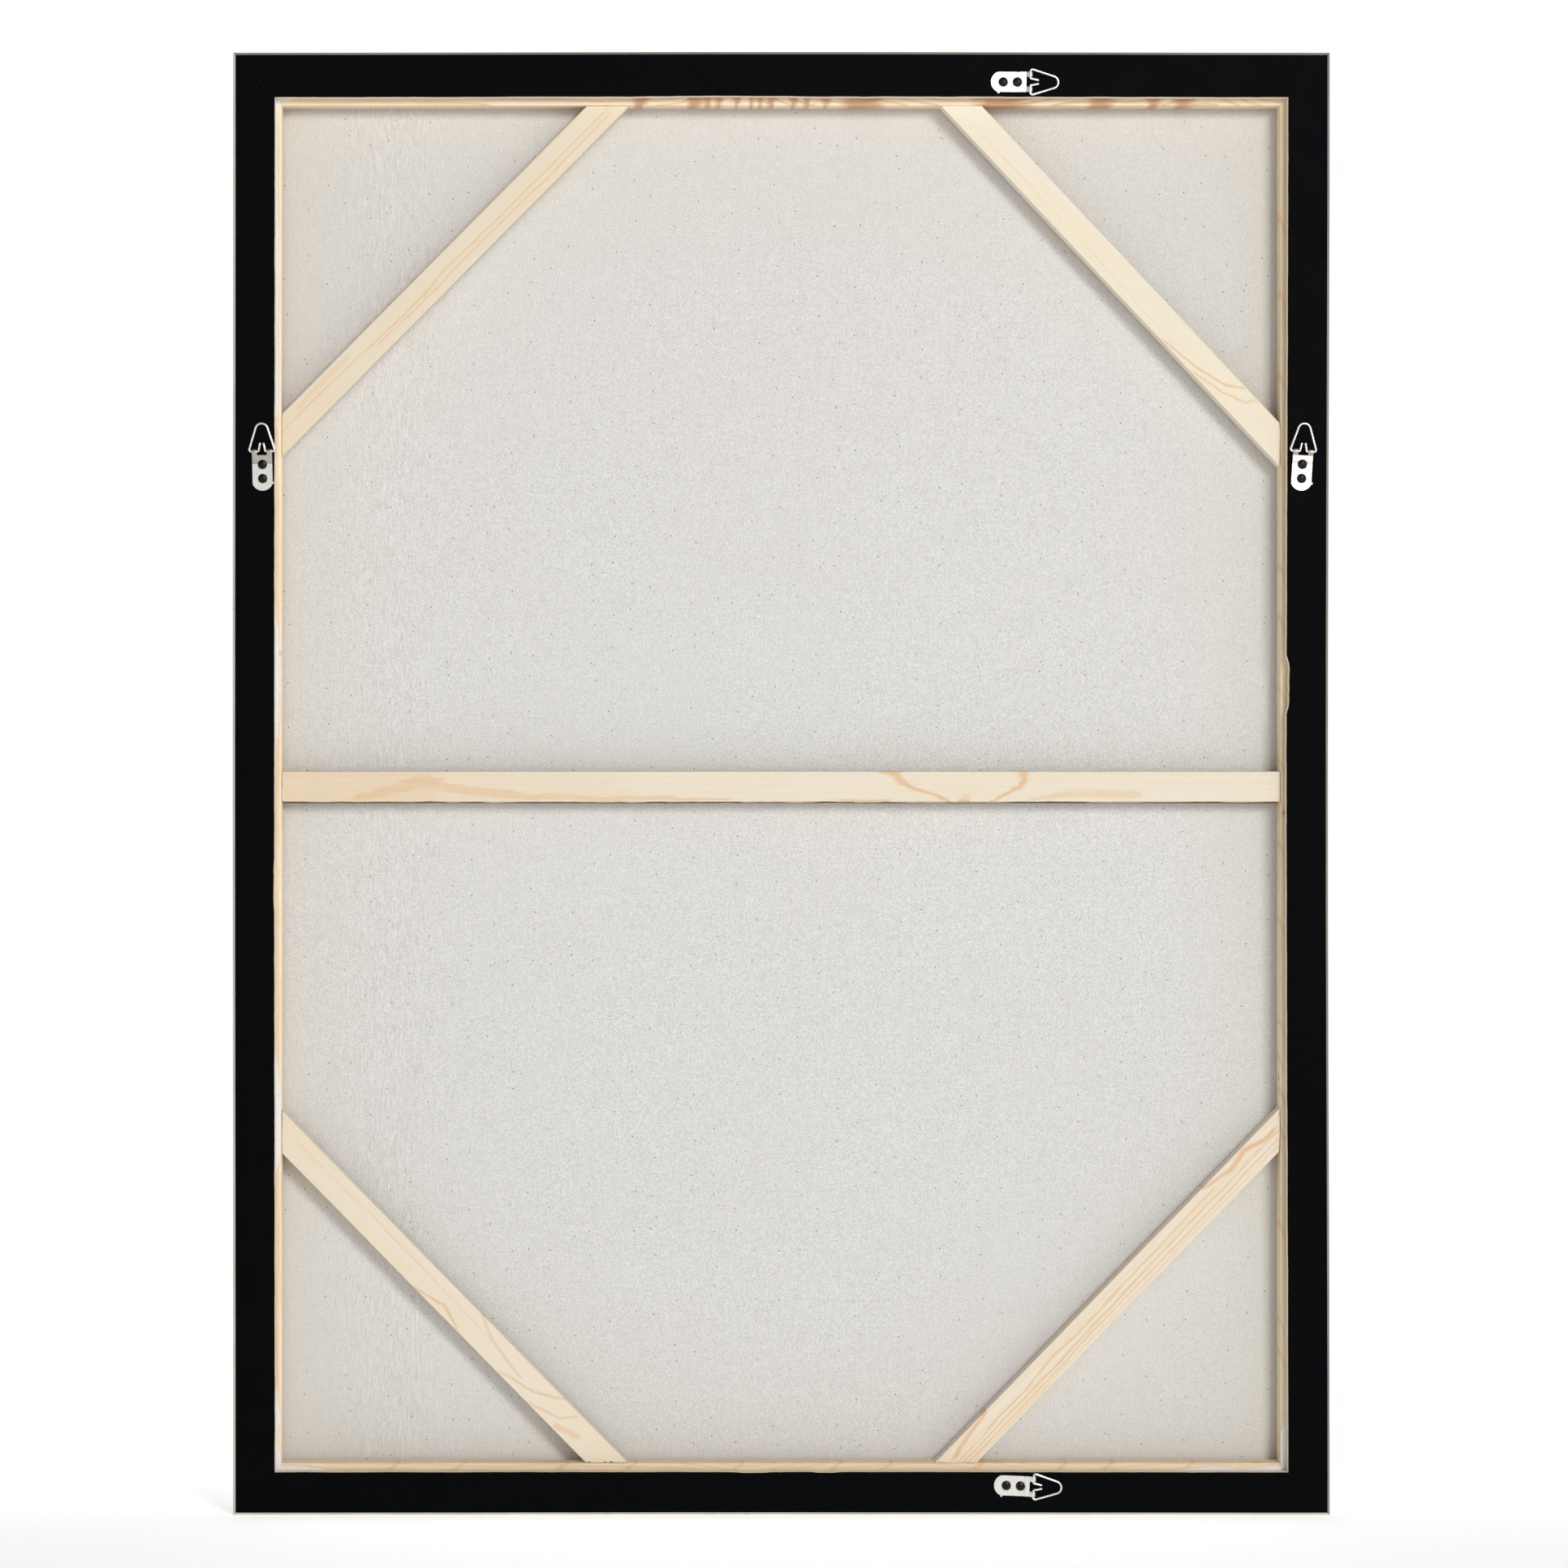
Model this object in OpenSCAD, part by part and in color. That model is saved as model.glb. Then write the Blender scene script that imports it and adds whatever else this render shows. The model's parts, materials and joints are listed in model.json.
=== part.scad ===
// Stretched canvas in a floating picture frame, with strap hangers on its back.
// The back of the picture faces -Y, the painted side faces +Y and +Z is up.
// The origin is at the middle of the bottom of the whole object's box.

/* [Picture frame] */
// Overall width of the frame
frame_w = 762; // [700:1:900]
// Overall height of the frame
frame_h = 1016; // [950:1:1200]
// Overall depth of the frame, from the back to the front of its lip
frame_d = 36; // [34:1:50]
// Width of the flat flange that shows from behind
flange_w = 29; // [27:0.5:32]
// Thickness of the flange
flange_t = 10; // [9:0.5:12]
// Thickness of the lip that stands round the canvas
lip_t = 6; // [4:0.5:6]
// Chamfer along the outer back edge
back_chamfer = 1.2; // [0.6:0.1:2]
// Chamfer along the front edges of the lip
lip_chamfer = 0.7; // [0.3:0.1:1.5]

/* [Stretcher] */
// Width of the strip of stretcher bar that shows inside the flange
bar_reveal = 4.1; // [3:0.1:5]
// Width of a stretcher bar
bar_w = 22; // [21:0.5:23]
// Depth of a stretcher bar
bar_d = 20; // [18:0.5:22]
// Radius of the eased inner edge of a bar
bar_ease = 1.2; // [0.5:0.1:2]
// Width of the raised bead that the canvas bends over
bead_w = 4.5; // [3:0.5:6]
// How far a bar's front falls away from the canvas at its inner edge
bar_fall = 2.8; // [1:0.1:4]

/* [Braces] */
// Width of a brace
brace_w = 20.8; // [16:0.2:26]
// Thickness of a brace
brace_t = 16; // [12:0.5:17]
// Height of the middle of the cross brace
cross_z = 506; // [470:1:540]
// Top left brace: distance from the inner corner along the top bar, then down the side bar
run_top_left = [229.9, 232.2];
// Top right brace: the same two distances
run_top_right = [224.5, 239.2];
// Bottom left brace: the same two distances
run_bottom_left = [228.2, 232.4];
// Bottom right brace: the same two distances
run_bottom_right = [227.7, 234.1];

/* [Canvas] */
// Thickness of the primed canvas
canvas_t = 0.8; // [0.6:0.1:1]
// Width of the margin that is folded onto the back of the bars
fold_w = 17; // [14:0.5:18]
// Largest spacing of the staples along the bars
staple_pitch = 70; // [50:5:100]

/* [Hangers] */
// Width of a hanger strap
strap_w = 13.9; // [12:0.1:15]
// Length of a strap from the ring's pin to its round end
strap_len = 27.2; // [26:0.2:30]
// Thickness of the strap's steel
strap_t = 0.8; // [0.6:0.1:1]
// Distance from the pin to the first screw, and to the second
screw_v = [8.9, 18.7];
// Diameter of the ring's wire
wire_d = 1.7; // [1.4:0.1:1.8]
// Distance from the pin to the top of the ring, at the middle of the wire
ring_reach = 19.5; // [18:0.5:22]
// Height of the left and right hangers' pins
side_pin_z = 738.8; // [680:1:800]
// Distance of the left hanger's pin from the frame's outer edge
left_inset = 20.2; // [19:0.1:22]
// Distance of the right hanger's pin from the frame's outer edge
right_inset = 18.9; // [18:0.1:22]
// Place of the top hanger's pin right of the middle
top_pin_x = 172.6; // [150:1:250]
// Distance of the top hanger's pin from the frame's outer edge
top_inset = 20.7; // [19:0.1:22]
// Place of the bottom hanger's pin right of the middle
bottom_pin_x = 174.7; // [150:1:250]
// Distance of the bottom hanger's pin from the frame's outer edge
bottom_inset = 20.1; // [19:0.1:22]
// Turn of each hanger from straight up, clockwise from behind: left, right, top, bottom
hanger_turn = [-1.2, 3.3, 90.5, 92.2];

/* [Hidden] */

$fn = 48;
eps = 0.01;

// Sides of the frame, numbered anticlockwise from below
BOTTOM = 0;
RIGHT = 1;
TOP = 2;
LEFT = 3;

// Colours
black_back = [0.04, 0.04, 0.045];
pine = [0.90, 0.82, 0.68];
raw_cloth = [0.84, 0.81, 0.76];
steel = [0.80, 0.80, 0.78];
dark_steel = [0.08, 0.08, 0.09];

// Wire, and the strap that wraps round it
wire_r = wire_d / 2;
pin_play = 0.1;
wrap_in = wire_r + pin_play;
wrap_out = wrap_in + strap_t;
hanger_proud = 2 * wrap_out;

// Depth planes, from the back of the flange to the front of the canvas
back_y = hanger_proud / 2 - frame_d / 2;
staple_t = 0.6;
fold_y = back_y + flange_t + staple_t;
bar_y = fold_y + canvas_t;
bar_front_y = bar_y + bar_d;

// Stretcher outline, and the clear space inside it
clear_w = frame_w - 2 * flange_w - 2 * bar_reveal;
clear_h = frame_h - 2 * flange_w - 2 * bar_reveal;
bars_w = clear_w + 2 * bar_w;
bars_h = clear_h + 2 * bar_w;
bars_z = (frame_h - bars_h) / 2;
clear_z = bars_z + bar_w;

// Screws: the head sits in the strap, and the shank goes through the flange into a bar
screw_r = 1.45;
screw_hole_r = 1.5;
screw_len = 18;
head_r = 2.95;
head_seat_r = 2.15;
head_rim_h = 0.75;
head_dome_h = 0.7;

// Strap shape, measured from the pin
slot_w = 6.9;
slot_v = 2.6;
lap_len = 6.8;
under_len = 5.4;
fold_angle = 130;
strap_end_r = 7.5;
sink_r = [2.2, 3.5];
tab_v = 21.9;
tab_size = [1.3, 0.9];

// Ring shape
ring_bend_r = 1.6;
ring_tip_r = 4.3;
ring_half_w = 8.7;
ring_lean = 2;
prong_u = [2.45, 1.25];
prong_len = 5.7;

// Middle of the ring's round tip, and the lean of the straight sides that run into it
tip_v = ring_reach - ring_tip_r;
side_lean = acos((ring_tip_r - ring_bend_r) / norm([ring_half_w - ring_bend_r, tip_v - ring_bend_r]))
    - atan2(tip_v - ring_bend_r, ring_half_w - ring_bend_r);

// Each hanger: place of its pin, its turn, and whether its lap shows from behind
HANGERS = [
    [left_inset - frame_w / 2, side_pin_z, hanger_turn[0], true],
    [frame_w / 2 - right_inset, side_pin_z, hanger_turn[1], true],
    [top_pin_x, frame_h - top_inset, hanger_turn[2], true],
    [bottom_pin_x, bottom_inset, hanger_turn[3], false]
];

// ---------- placing ----------

// Upright slab with the outline of its children in X and Z, between two depths
module slab(y0, y1) {
    translate([0, y1, 0])
        rotate([90, 0, 0])
            linear_extrude(y1 - y0)
                children();
}

// Puts a piece that was made along the bottom edge on any side of a w by h rectangle
module on_side(side, w, h) {
    translate([0, 0, h / 2])
        rotate([0, -90 * side, 0])
            translate([0, 0, -(side % 2 == 0 ? h : w) / 2])
                children();
}

// Length of one side of a w by h rectangle
function side_len(side, w, h) = side % 2 == 0 ? w : h;

// Mitred stick of length len along X, with its profile in Y and Z and its outer edge at z = 0
module mitred(len, wide, y0, y1) {
    intersection() {
        translate([-len / 2, 0, 0])
            rotate([90, 0, 90])
                linear_extrude(len)
                    children();
        slab(y0 - 1, y1 + 1)
            polygon([[-len / 2, 0], [len / 2, 0], [len / 2 - wide, wide], [-len / 2 + wide, wide]]);
    }
}

// Puts a hanger's pieces in place: u is along X, v along Z and the frame's back is at y = 0
module at_hanger(i) {
    translate([HANGERS[i][0], back_y, HANGERS[i][1]])
        rotate([0, HANGERS[i][2], 0])
            children();
}

// ---------- picture frame ----------

module frame_profile() {
    c = back_chamfer;
    l = lip_chamfer;
    front = back_y + frame_d;
    polygon([
        [back_y + c, 0], [front - l, 0], [front, l], [front, lip_t - l], [front - l, lip_t],
        [back_y + flange_t, lip_t], [back_y + flange_t, flange_w], [back_y, flange_w], [back_y, c]
    ]);
}

// Clearance holes of one hanger's screws
module screw_holes(i) {
    at_hanger(i)
        for (v = screw_v)
            translate([0, 0, -v])
                rotate([-90, 0, 0])
                    translate([0, 0, -1])
                        cylinder(h = screw_len + 1.2, r = screw_hole_r);
}

module frame_rail(side, hanger) {
    color(black_back)
        difference() {
            on_side(side, frame_w, frame_h)
                mitred(side_len(side, frame_w, frame_h), flange_w, back_y, back_y + frame_d)
                    frame_profile();
            screw_holes(hanger);
        }
}

// One bent steel nail across a mitre, with a leg in each rail
module v_nail() {
    leg = 6;
    thick = 0.6;
    slab(back_y + 2, back_y + flange_t - 1) {
        square([leg, thick]);
        square([thick, leg]);
    }
}

module frame_corner_nails() {
    color(steel)
        for (sx = [-1, 1], top = [0, 1], inset = [8, 17])
            translate([0, 0, top * frame_h])
                mirror([0, 0, top])
                    mirror([sx > 0 ? 1 : 0, 0, 0])
                        translate([inset - frame_w / 2, 0, inset])
                            v_nail();
}

// ---------- stretcher ----------

// Profile with the inner edge eased, a bead on the outside and a front that falls away inwards
module bar_profile() {
    e = bar_ease;
    difference() {
        polygon([
            [bar_y, 0], [bar_front_y, 0], [bar_front_y, bead_w - 1], [bar_front_y - 1, bead_w + 0.6],
            [bar_front_y - bar_fall, bar_w], [bar_y, bar_w]
        ]);
        difference() {
            translate([bar_y - eps, bar_w - e])
                square(e + eps);
            translate([bar_y + e, bar_w - e])
                circle(e);
        }
    }
}

module stretcher_bar(side, hanger) {
    color(pine)
        difference() {
            translate([0, 0, bars_z])
                on_side(side, bars_w, bars_h)
                    mitred(side_len(side, bars_w, bars_h), bar_w, bar_y, bar_front_y)
                        bar_profile();
            screw_holes(hanger);
        }
}

// Staple with its crown along X, the back of the crown at y = 0 and its legs towards +Y
module staple(crown, leg) {
    wide = 1;
    translate([-crown / 2, 0, -wide / 2])
        cube([crown, staple_t, wide]);
    for (s = [-1, 1])
        translate([s * (crown - staple_t) / 2 - staple_t / 2, 0, -wide / 2])
            cube([staple_t, leg, wide]);
}

// Two staples across each mitre, set in flush with the back of the bars
module stretcher_corner_staples() {
    color(steel)
        for (sx = [-1, 1], sz = [-1, 1], inset = [7, 15])
            translate([sx * (bars_w / 2 - inset), bar_y, frame_h / 2 + sz * (bars_h / 2 - inset)])
                rotate([0, 45 * sx * sz, 0])
                    staple(9, 8);
}

// ---------- braces ----------

module cross_brace() {
    color(pine)
        slab(bar_y, bar_y + brace_t)
            translate([-clear_w / 2, cross_z - brace_w / 2])
                square([clear_w, brace_w]);
}

// Diagonal brace in one corner of the clear space; both of its ends lie against a bar
module corner_brace(sx, top, run) {
    slope = atan2(run[1], run[0]);
    du = brace_w / 2 / sin(slope);
    dv = brace_w / 2 / cos(slope);
    color(pine)
        translate([0, 0, top ? clear_z + clear_h : clear_z])
            slab(bar_y, bar_y + brace_t)
                polygon([
                    for (p = [
                        [clear_w / 2 - run[0] - du, 0], [clear_w / 2 - run[0] + du, 0],
                        [clear_w / 2, run[1] - dv], [clear_w / 2, run[1] + dv]
                    ]) [sx * p[0], (top ? -1 : 1) * p[1]]
                ]);
}

// One brad from the outside of a bar into the end of a brace, pointing along +Z
module brad() {
    brad_len = 36;
    cylinder(h = brad_len, r = 0.7);
    cylinder(h = 1, r = 1.2);
}

// Two brads through each end of a diagonal brace
module corner_brads(sx, top, run) {
    for (shift = [3, 10]) {
        translate([sx * (clear_w / 2 - run[0] + shift), 0, top ? bars_z + bars_h : bars_z])
            rotate([top ? 180 : 0, 0, 0])
                brad();
        translate([
            sx * bars_w / 2, 0,
            top ? clear_z + clear_h - run[1] + shift : clear_z + run[1] - shift
        ])
            rotate([0, -90 * sx, 0])
                brad();
    }
}

module brace_nails() {
    color(steel)
        translate([0, bar_y + brace_t / 2, 0]) {
            corner_brads(-1, true, run_top_left);
            corner_brads(1, true, run_top_right);
            corner_brads(-1, false, run_bottom_left);
            corner_brads(1, false, run_bottom_right);
            for (sx = [-1, 1], dz = [-5, 5])
                translate([sx * bars_w / 2, 0, cross_z + dz])
                    rotate([0, -90 * sx, 0])
                        brad();
        }
}

// ---------- canvas ----------

// Upright box centred on X, standing on a height z
module upright_box(w, h, z, y0, y1) {
    translate([-w / 2, y0, z])
        cube([w, y1 - y0, h]);
}

// Front sheet, four sides and the margins folded onto the back of the bars, where the hangers'
// screws pass through them
module canvas() {
    window_w = bars_w - 2 * fold_w;
    window_h = bars_h - 2 * fold_w;
    color(raw_cloth)
        difference() {
            upright_box(
                bars_w + 2 * canvas_t, bars_h + 2 * canvas_t, bars_z - canvas_t,
                fold_y, bar_front_y + canvas_t
            );
            upright_box(bars_w, bars_h, bars_z, bar_y, bar_front_y);
            upright_box(window_w, window_h, bars_z + fold_w, fold_y - 1, bar_y + 1);
            for (i = [0 : len(HANGERS) - 1])
                screw_holes(i);
        }
}

// Rows of staples along the folded margins
module canvas_staples() {
    inset = 9;
    color(steel)
        for (side = [BOTTOM, RIGHT, TOP, LEFT]) {
            len = side_len(side, bars_w, bars_h);
            count = ceil((len - 60) / staple_pitch);
            translate([0, 0, bars_z])
                on_side(side, bars_w, bars_h)
                    for (i = [0 : count])
                        translate([(i / count - 0.5) * (len - 60), back_y + flange_t, inset])
                            staple(10, 8);
        }
}

// ---------- hangers ----------

// Plan of the strap: parallel sides and a round end
module strap_plan() {
    end_v = strap_len - strap_end_r;
    intersection() {
        translate([-strap_w / 2, -strap_len])
            square([strap_w, strap_len + wrap_out]);
        union() {
            translate([0, -end_v])
                circle(strap_end_r);
            translate([-strap_w / 2, -end_v])
                square([strap_w, end_v + wrap_out]);
        }
    }
    translate([strap_w / 2 - 0.5, -tab_v - tab_size[0] / 2])
        square([tab_size[1] + 0.5, tab_size[0]]);
}

// Cross-section of the strap along v, with height h above the frame: a sheet that goes round
// the pin and laps onto itself. The lap lies outside, or under the sheet when it is turned over
module strap_section(lap_outside) {
    lap_back = lap_outside ? lap_len : under_len;
    step = strap_t;
    outward = [cos(fold_angle), sin(fold_angle)];
    tangent = [outward[1], -outward[0]];
    inner = [0, wrap_out] + outward * (wrap_in + eps);
    outer = [0, wrap_out] + outward * (wrap_out - eps);
    low_inner = inner - tangent * (inner[1] - step) / tangent[1];
    low_outer = outer - tangent * (outer[1] - 2 * step) / tangent[1];
    // round the pin
    difference() {
        translate([0, wrap_out])
            circle(wrap_out);
        translate([0, wrap_out])
            circle(wrap_in);
        polygon([
            [0, 0], [0, wrap_out], [0, wrap_out] + 2 * wrap_out * outward,
            [-9, 2 * wrap_out], [-9, -1], [0, -1]
        ]);
    }
    // down to the lap: a hair thinner than the round part, with its start a little way inside it
    polygon([
        inner + tangent * 0.1, outer + tangent * 0.1, low_outer,
        [-lap_back, 2 * step], [-lap_back, step], low_inner
    ]);
    if (lap_outside) {
        translate([-strap_len, 0])
            square([strap_len, strap_t]);
    } else {
        translate([-lap_back, 0])
            square([lap_back, strap_t]);
        polygon([
            [-lap_back, step], [-lap_back, 2 * step], [-lap_back - 1.4, step],
            [-strap_len, step], [-strap_len, 0], [-lap_back - 1.4, 0]
        ]);
    }
}

// The section runs along Z and away from the frame, and is as wide as the strap along X
module strap_sheet(lap_outside) {
    translate([-strap_w / 2 - 2, 0, 0])
        rotate([90, 0, 90])
            linear_extrude(strap_w + 4)
                rotate(90)
                    strap_section(lap_outside);
}

module hanger_strap(i) {
    color(steel)
        at_hanger(i)
            difference() {
                intersection() {
                    strap_sheet(HANGERS[i][3]);
                    slab(-hanger_proud - 1, 1)
                        strap_plan();
                }
                translate([-slot_w / 2, -hanger_proud - 1, -slot_v])
                    cube([slot_w, hanger_proud + 2, slot_v + wrap_out + 1]);
                for (v = screw_v)
                    translate([0, 0, -v])
                        rotate([90, 0, 0]) {
                            cylinder(h = strap_t, r1 = sink_r[0], r2 = sink_r[1]);
                            translate([0, 0, -1])
                                cylinder(h = 2, r = sink_r[0]);
                            translate([0, 0, strap_t - eps])
                                cylinder(h = hanger_proud, r = sink_r[1]);
                        }
            }
}

// Countersunk screw with a low domed head; its point is towards the canvas
module hanger_screw() {
    dome_r = (pow(head_r, 2) + pow(head_dome_h, 2)) / (2 * head_dome_h);
    tip = 4;
    rotate([90, 0, 0])
        difference() {
            union() {
                cylinder(h = head_rim_h, r1 = head_seat_r, r2 = head_r);
                translate([0, 0, head_rim_h])
                    intersection() {
                        translate([0, 0, head_dome_h - dome_r])
                            sphere(dome_r);
                        cylinder(h = head_dome_h + 1, r = head_r);
                    }
                translate([0, 0, tip - screw_len])
                    cylinder(h = screw_len - tip + eps, r = screw_r);
                translate([0, 0, -screw_len])
                    cylinder(h = tip, r1 = 0.3, r2 = screw_r);
            }
            for (a = [20, 110])
                rotate(a)
                    translate([-1.6, -0.28, 0.3])
                        cube([3.2, 0.56, 2]);
        }
}

module hanger_screws(i) {
    color(dark_steel)
        at_hanger(i)
            for (v = screw_v)
                translate([0, 0, -v])
                    hanger_screw();
}

// Straight piece of wire between two points of the ring's plane. It is a hair thinner than the
// bends, and its ends reach a little way into them
module wire(p, q) {
    d = q - p;
    reach = 0.1;
    translate([p[0], 0, p[1]])
        rotate([0, atan2(d[0], d[1]), 0])
            translate([0, 0, -reach])
                cylinder(h = norm(d) + 2 * reach, r = wire_r - 0.01);
}

// Round bend of wire about a point of the ring's plane, between two angles from +X
module wire_bend(c, r, a0, a1) {
    translate([c[0], 0, c[1]])
        rotate([90, 0, 0])
            rotate([0, 0, a0])
                rotate_extrude(angle = a1 - a0)
                    translate([r, 0])
                        circle(wire_r);
}

// One side of the ring, on the +X side: prong, pin, bend and straight side
module ring_side(lean) {
    turn_u = ring_half_w - ring_bend_r;
    side = [cos(lean), sin(lean)];
    wire([prong_u[0], 0], [prong_u[1], prong_len]);
    wire([prong_u[0] - wire_r, 0], [turn_u, 0]);
    wire_bend([turn_u, ring_bend_r], ring_bend_r, -90, lean);
    wire([turn_u, ring_bend_r] + ring_bend_r * side, [0, tip_v] + ring_tip_r * side);
}

module d_ring(i) {
    color(steel)
        at_hanger(i)
            translate([0, -wrap_out, 0])
                rotate([-ring_lean, 0, 0]) {
                    wire_bend([0, tip_v], ring_tip_r, side_lean, 180 - side_lean);
                    ring_side(side_lean);
                    mirror([1, 0, 0])
                        ring_side(side_lean);
                }
}

// ---------- drawing ----------

frame_rail(TOP, 2);  // frame_rail_top
frame_rail(BOTTOM, 3);  // frame_rail_bottom
frame_rail(LEFT, 0);  // frame_rail_left
frame_rail(RIGHT, 1);  // frame_rail_right
frame_corner_nails();
stretcher_bar(TOP, 2);  // stretcher_bar_top
stretcher_bar(BOTTOM, 3);  // stretcher_bar_bottom
stretcher_bar(LEFT, 0);  // stretcher_bar_left
stretcher_bar(RIGHT, 1);  // stretcher_bar_right
stretcher_corner_staples();
cross_brace();
corner_brace(-1, true, run_top_left);  // corner_brace_top_left
corner_brace(1, true, run_top_right);  // corner_brace_top_right
corner_brace(-1, false, run_bottom_left);  // corner_brace_bottom_left
corner_brace(1, false, run_bottom_right);  // corner_brace_bottom_right
brace_nails();
canvas();
canvas_staples();
hanger_strap(0);  // hanger_strap_left
hanger_strap(1);  // hanger_strap_right
hanger_strap(2);  // hanger_strap_top
hanger_strap(3);  // hanger_strap_bottom
d_ring(0);  // d_ring_left
d_ring(1);  // d_ring_right
d_ring(2);  // d_ring_top
d_ring(3);  // d_ring_bottom
hanger_screws(0);  // hanger_screws_left
hanger_screws(1);  // hanger_screws_right
hanger_screws(2);  // hanger_screws_top
hanger_screws(3);  // hanger_screws_bottom
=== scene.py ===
"""Looks of the stretched canvas in its floating frame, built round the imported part.

Everything is in metres in the row frame: the back of the picture faces -Y and +Z is up.
Wooden pieces are built in their own coordinates, with the grain along X and the depth along Y.
"""
import json
import math

import bmesh
import bpy
import numpy as np
from mathutils import Matrix, Vector, noise


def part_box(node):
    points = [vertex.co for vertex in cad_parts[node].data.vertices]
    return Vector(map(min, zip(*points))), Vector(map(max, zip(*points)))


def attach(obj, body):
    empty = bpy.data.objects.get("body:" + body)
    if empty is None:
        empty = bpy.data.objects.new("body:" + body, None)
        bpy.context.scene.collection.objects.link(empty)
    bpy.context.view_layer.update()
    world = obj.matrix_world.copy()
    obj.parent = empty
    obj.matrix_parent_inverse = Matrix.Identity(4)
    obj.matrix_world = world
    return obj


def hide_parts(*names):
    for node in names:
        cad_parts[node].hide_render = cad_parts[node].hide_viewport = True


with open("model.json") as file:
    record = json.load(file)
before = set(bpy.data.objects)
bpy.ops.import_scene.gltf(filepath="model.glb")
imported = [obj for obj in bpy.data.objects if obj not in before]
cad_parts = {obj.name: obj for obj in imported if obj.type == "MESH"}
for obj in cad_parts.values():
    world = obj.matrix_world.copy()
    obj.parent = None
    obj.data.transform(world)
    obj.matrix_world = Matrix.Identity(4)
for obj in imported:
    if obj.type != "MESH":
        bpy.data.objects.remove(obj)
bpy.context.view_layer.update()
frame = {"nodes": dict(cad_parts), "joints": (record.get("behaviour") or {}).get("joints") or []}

MM = 0.001
BOTTOM, RIGHT, TOP, LEFT = range(4)
SIDES = ("bottom", "right", "top", "left")

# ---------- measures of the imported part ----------

rail_low, rail_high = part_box("frame_rail_bottom")
bar_low, bar_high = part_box("stretcher_bar_bottom")
back_y, front_y = rail_low.y, rail_high.y
frame_w, frame_h = rail_high.x - rail_low.x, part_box("frame_rail_left")[1].z
flange_w = rail_high.z
bar_y, bar_front_y = bar_low.y, bar_high.y
bars_w, bars_h = bar_high.x - bar_low.x, frame_h - 2 * bar_low.z
bar_w = bar_high.z - bar_low.z
flange_t = 10 * MM
lip_t = 6 * MM


# ---------- mesh helpers ----------

def wobble(x, seed, size=1.0):
    """Smooth noise between about -1 and 1 along a line; size is its wavelength."""
    return noise.noise(Vector((x / size, seed * 7.31, seed * 1.77))) * 1.6


def smooth_step(t):
    t = min(1.0, max(0.0, t))
    return t * t * (3 - 2 * t)


def between(keys, x):
    """Smooth curve through (x, value) keys."""
    if x <= keys[0][0]:
        return keys[0][1]
    for (x0, v0), (x1, v1) in zip(keys, keys[1:]):
        if x <= x1:
            return v0 + (v1 - v0) * smooth_step((x - x0) / (x1 - x0))
    return keys[-1][1]


def add_object(name, data):
    obj = bpy.data.objects.new(name, data)
    bpy.context.scene.collection.objects.link(obj)
    return obj


def soften(bm, crease):
    """Leaves an edge sharp where its faces turn by more than crease degrees, or where it is open."""
    for edge in bm.edges:
        edge.smooth = len(edge.link_faces) == 2 and edge.calc_face_angle(0) < math.radians(crease)


def make_object(name, verts, faces, materials, face_slots=None, matrix=None, crease=32, weld=0.0):
    mesh = bpy.data.meshes.new(name)
    mesh.from_pydata([tuple(v) for v in verts], [], faces)
    for material in materials:
        mesh.materials.append(material)
    if face_slots is not None:
        mesh.polygons.foreach_set("material_index", face_slots)
    bm = bmesh.new()
    bm.from_mesh(mesh)
    if weld:
        bmesh.ops.remove_doubles(bm, verts=bm.verts, dist=weld)
    bmesh.ops.recalc_face_normals(bm, faces=bm.faces)
    for face in bm.faces:
        face.smooth = True
    soften(bm, crease)
    bm.to_mesh(mesh)
    bm.free()
    obj = add_object(name, mesh)
    if matrix is not None:
        obj.matrix_world = matrix
    return obj


def loft(rings, slots=None):
    """Faces and their slots for a stack of closed rings with equal counts, capped at both ends."""
    count, around = len(rings), len(rings[0])
    faces, face_slots = [], []
    for i in range(count - 1):
        for j in range(around):
            k = (j + 1) % around
            faces.append((i * around + j, i * around + k, (i + 1) * around + k, (i + 1) * around + j))
            face_slots.append(slots[j] if slots else 0)
    faces.append(tuple(range(around)))
    faces.append(tuple((count - 1) * around + j for j in range(around)))
    face_slots += [max(slots) if slots else 0] * 2
    return faces, face_slots


def rounded_profile(corners, step):
    """Closed profile from (y, z, radius, slot) corners: arcs at the corners and points every step
    between them. A corner's slot is that of the edge after it; the arc belongs to the edge before."""
    points, slots = [], []
    count = len(corners)
    for i in range(count):
        p, here, q = (np.array(corners[(i + d) % count][:2]) for d in (-1, 0, 1))
        radius, slot = corners[i][2], corners[i][3]
        before, after = (p - here) / np.linalg.norm(p - here), (q - here) / np.linalg.norm(q - here)
        half = math.acos(max(-1, min(1, before @ after))) / 2
        back = radius / math.tan(half)
        centre = here + (before + after) / np.linalg.norm(before + after) * radius / math.sin(half)
        a, b = here + before * back - centre, here + after * back - centre
        arc = [centre + (a * (1 - t) + b * t) / np.linalg.norm(a * (1 - t) + b * t) * radius
               for t in (0, 0.25, 0.5, 0.75, 1)]
        points += arc
        slots += [corners[i - 1][3]] * (len(arc) - 1) + [slot]
        radius_next = corners[(i + 1) % count][2]
        following = np.array(corners[(i + 2) % count][:2])
        u, v = (here - q) / np.linalg.norm(here - q), (following - q) / np.linalg.norm(following - q)
        half_next = math.acos(max(-1, min(1, u @ v))) / 2
        stop = q + u * (radius_next / math.tan(half_next))
        gap = np.linalg.norm(stop - arc[-1])
        extra = int(gap / step)
        for k in range(1, extra + 1):
            points.append(arc[-1] + (stop - arc[-1]) * k / (extra + 1))
            slots.append(slot)
    return np.array(points), slots


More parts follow.
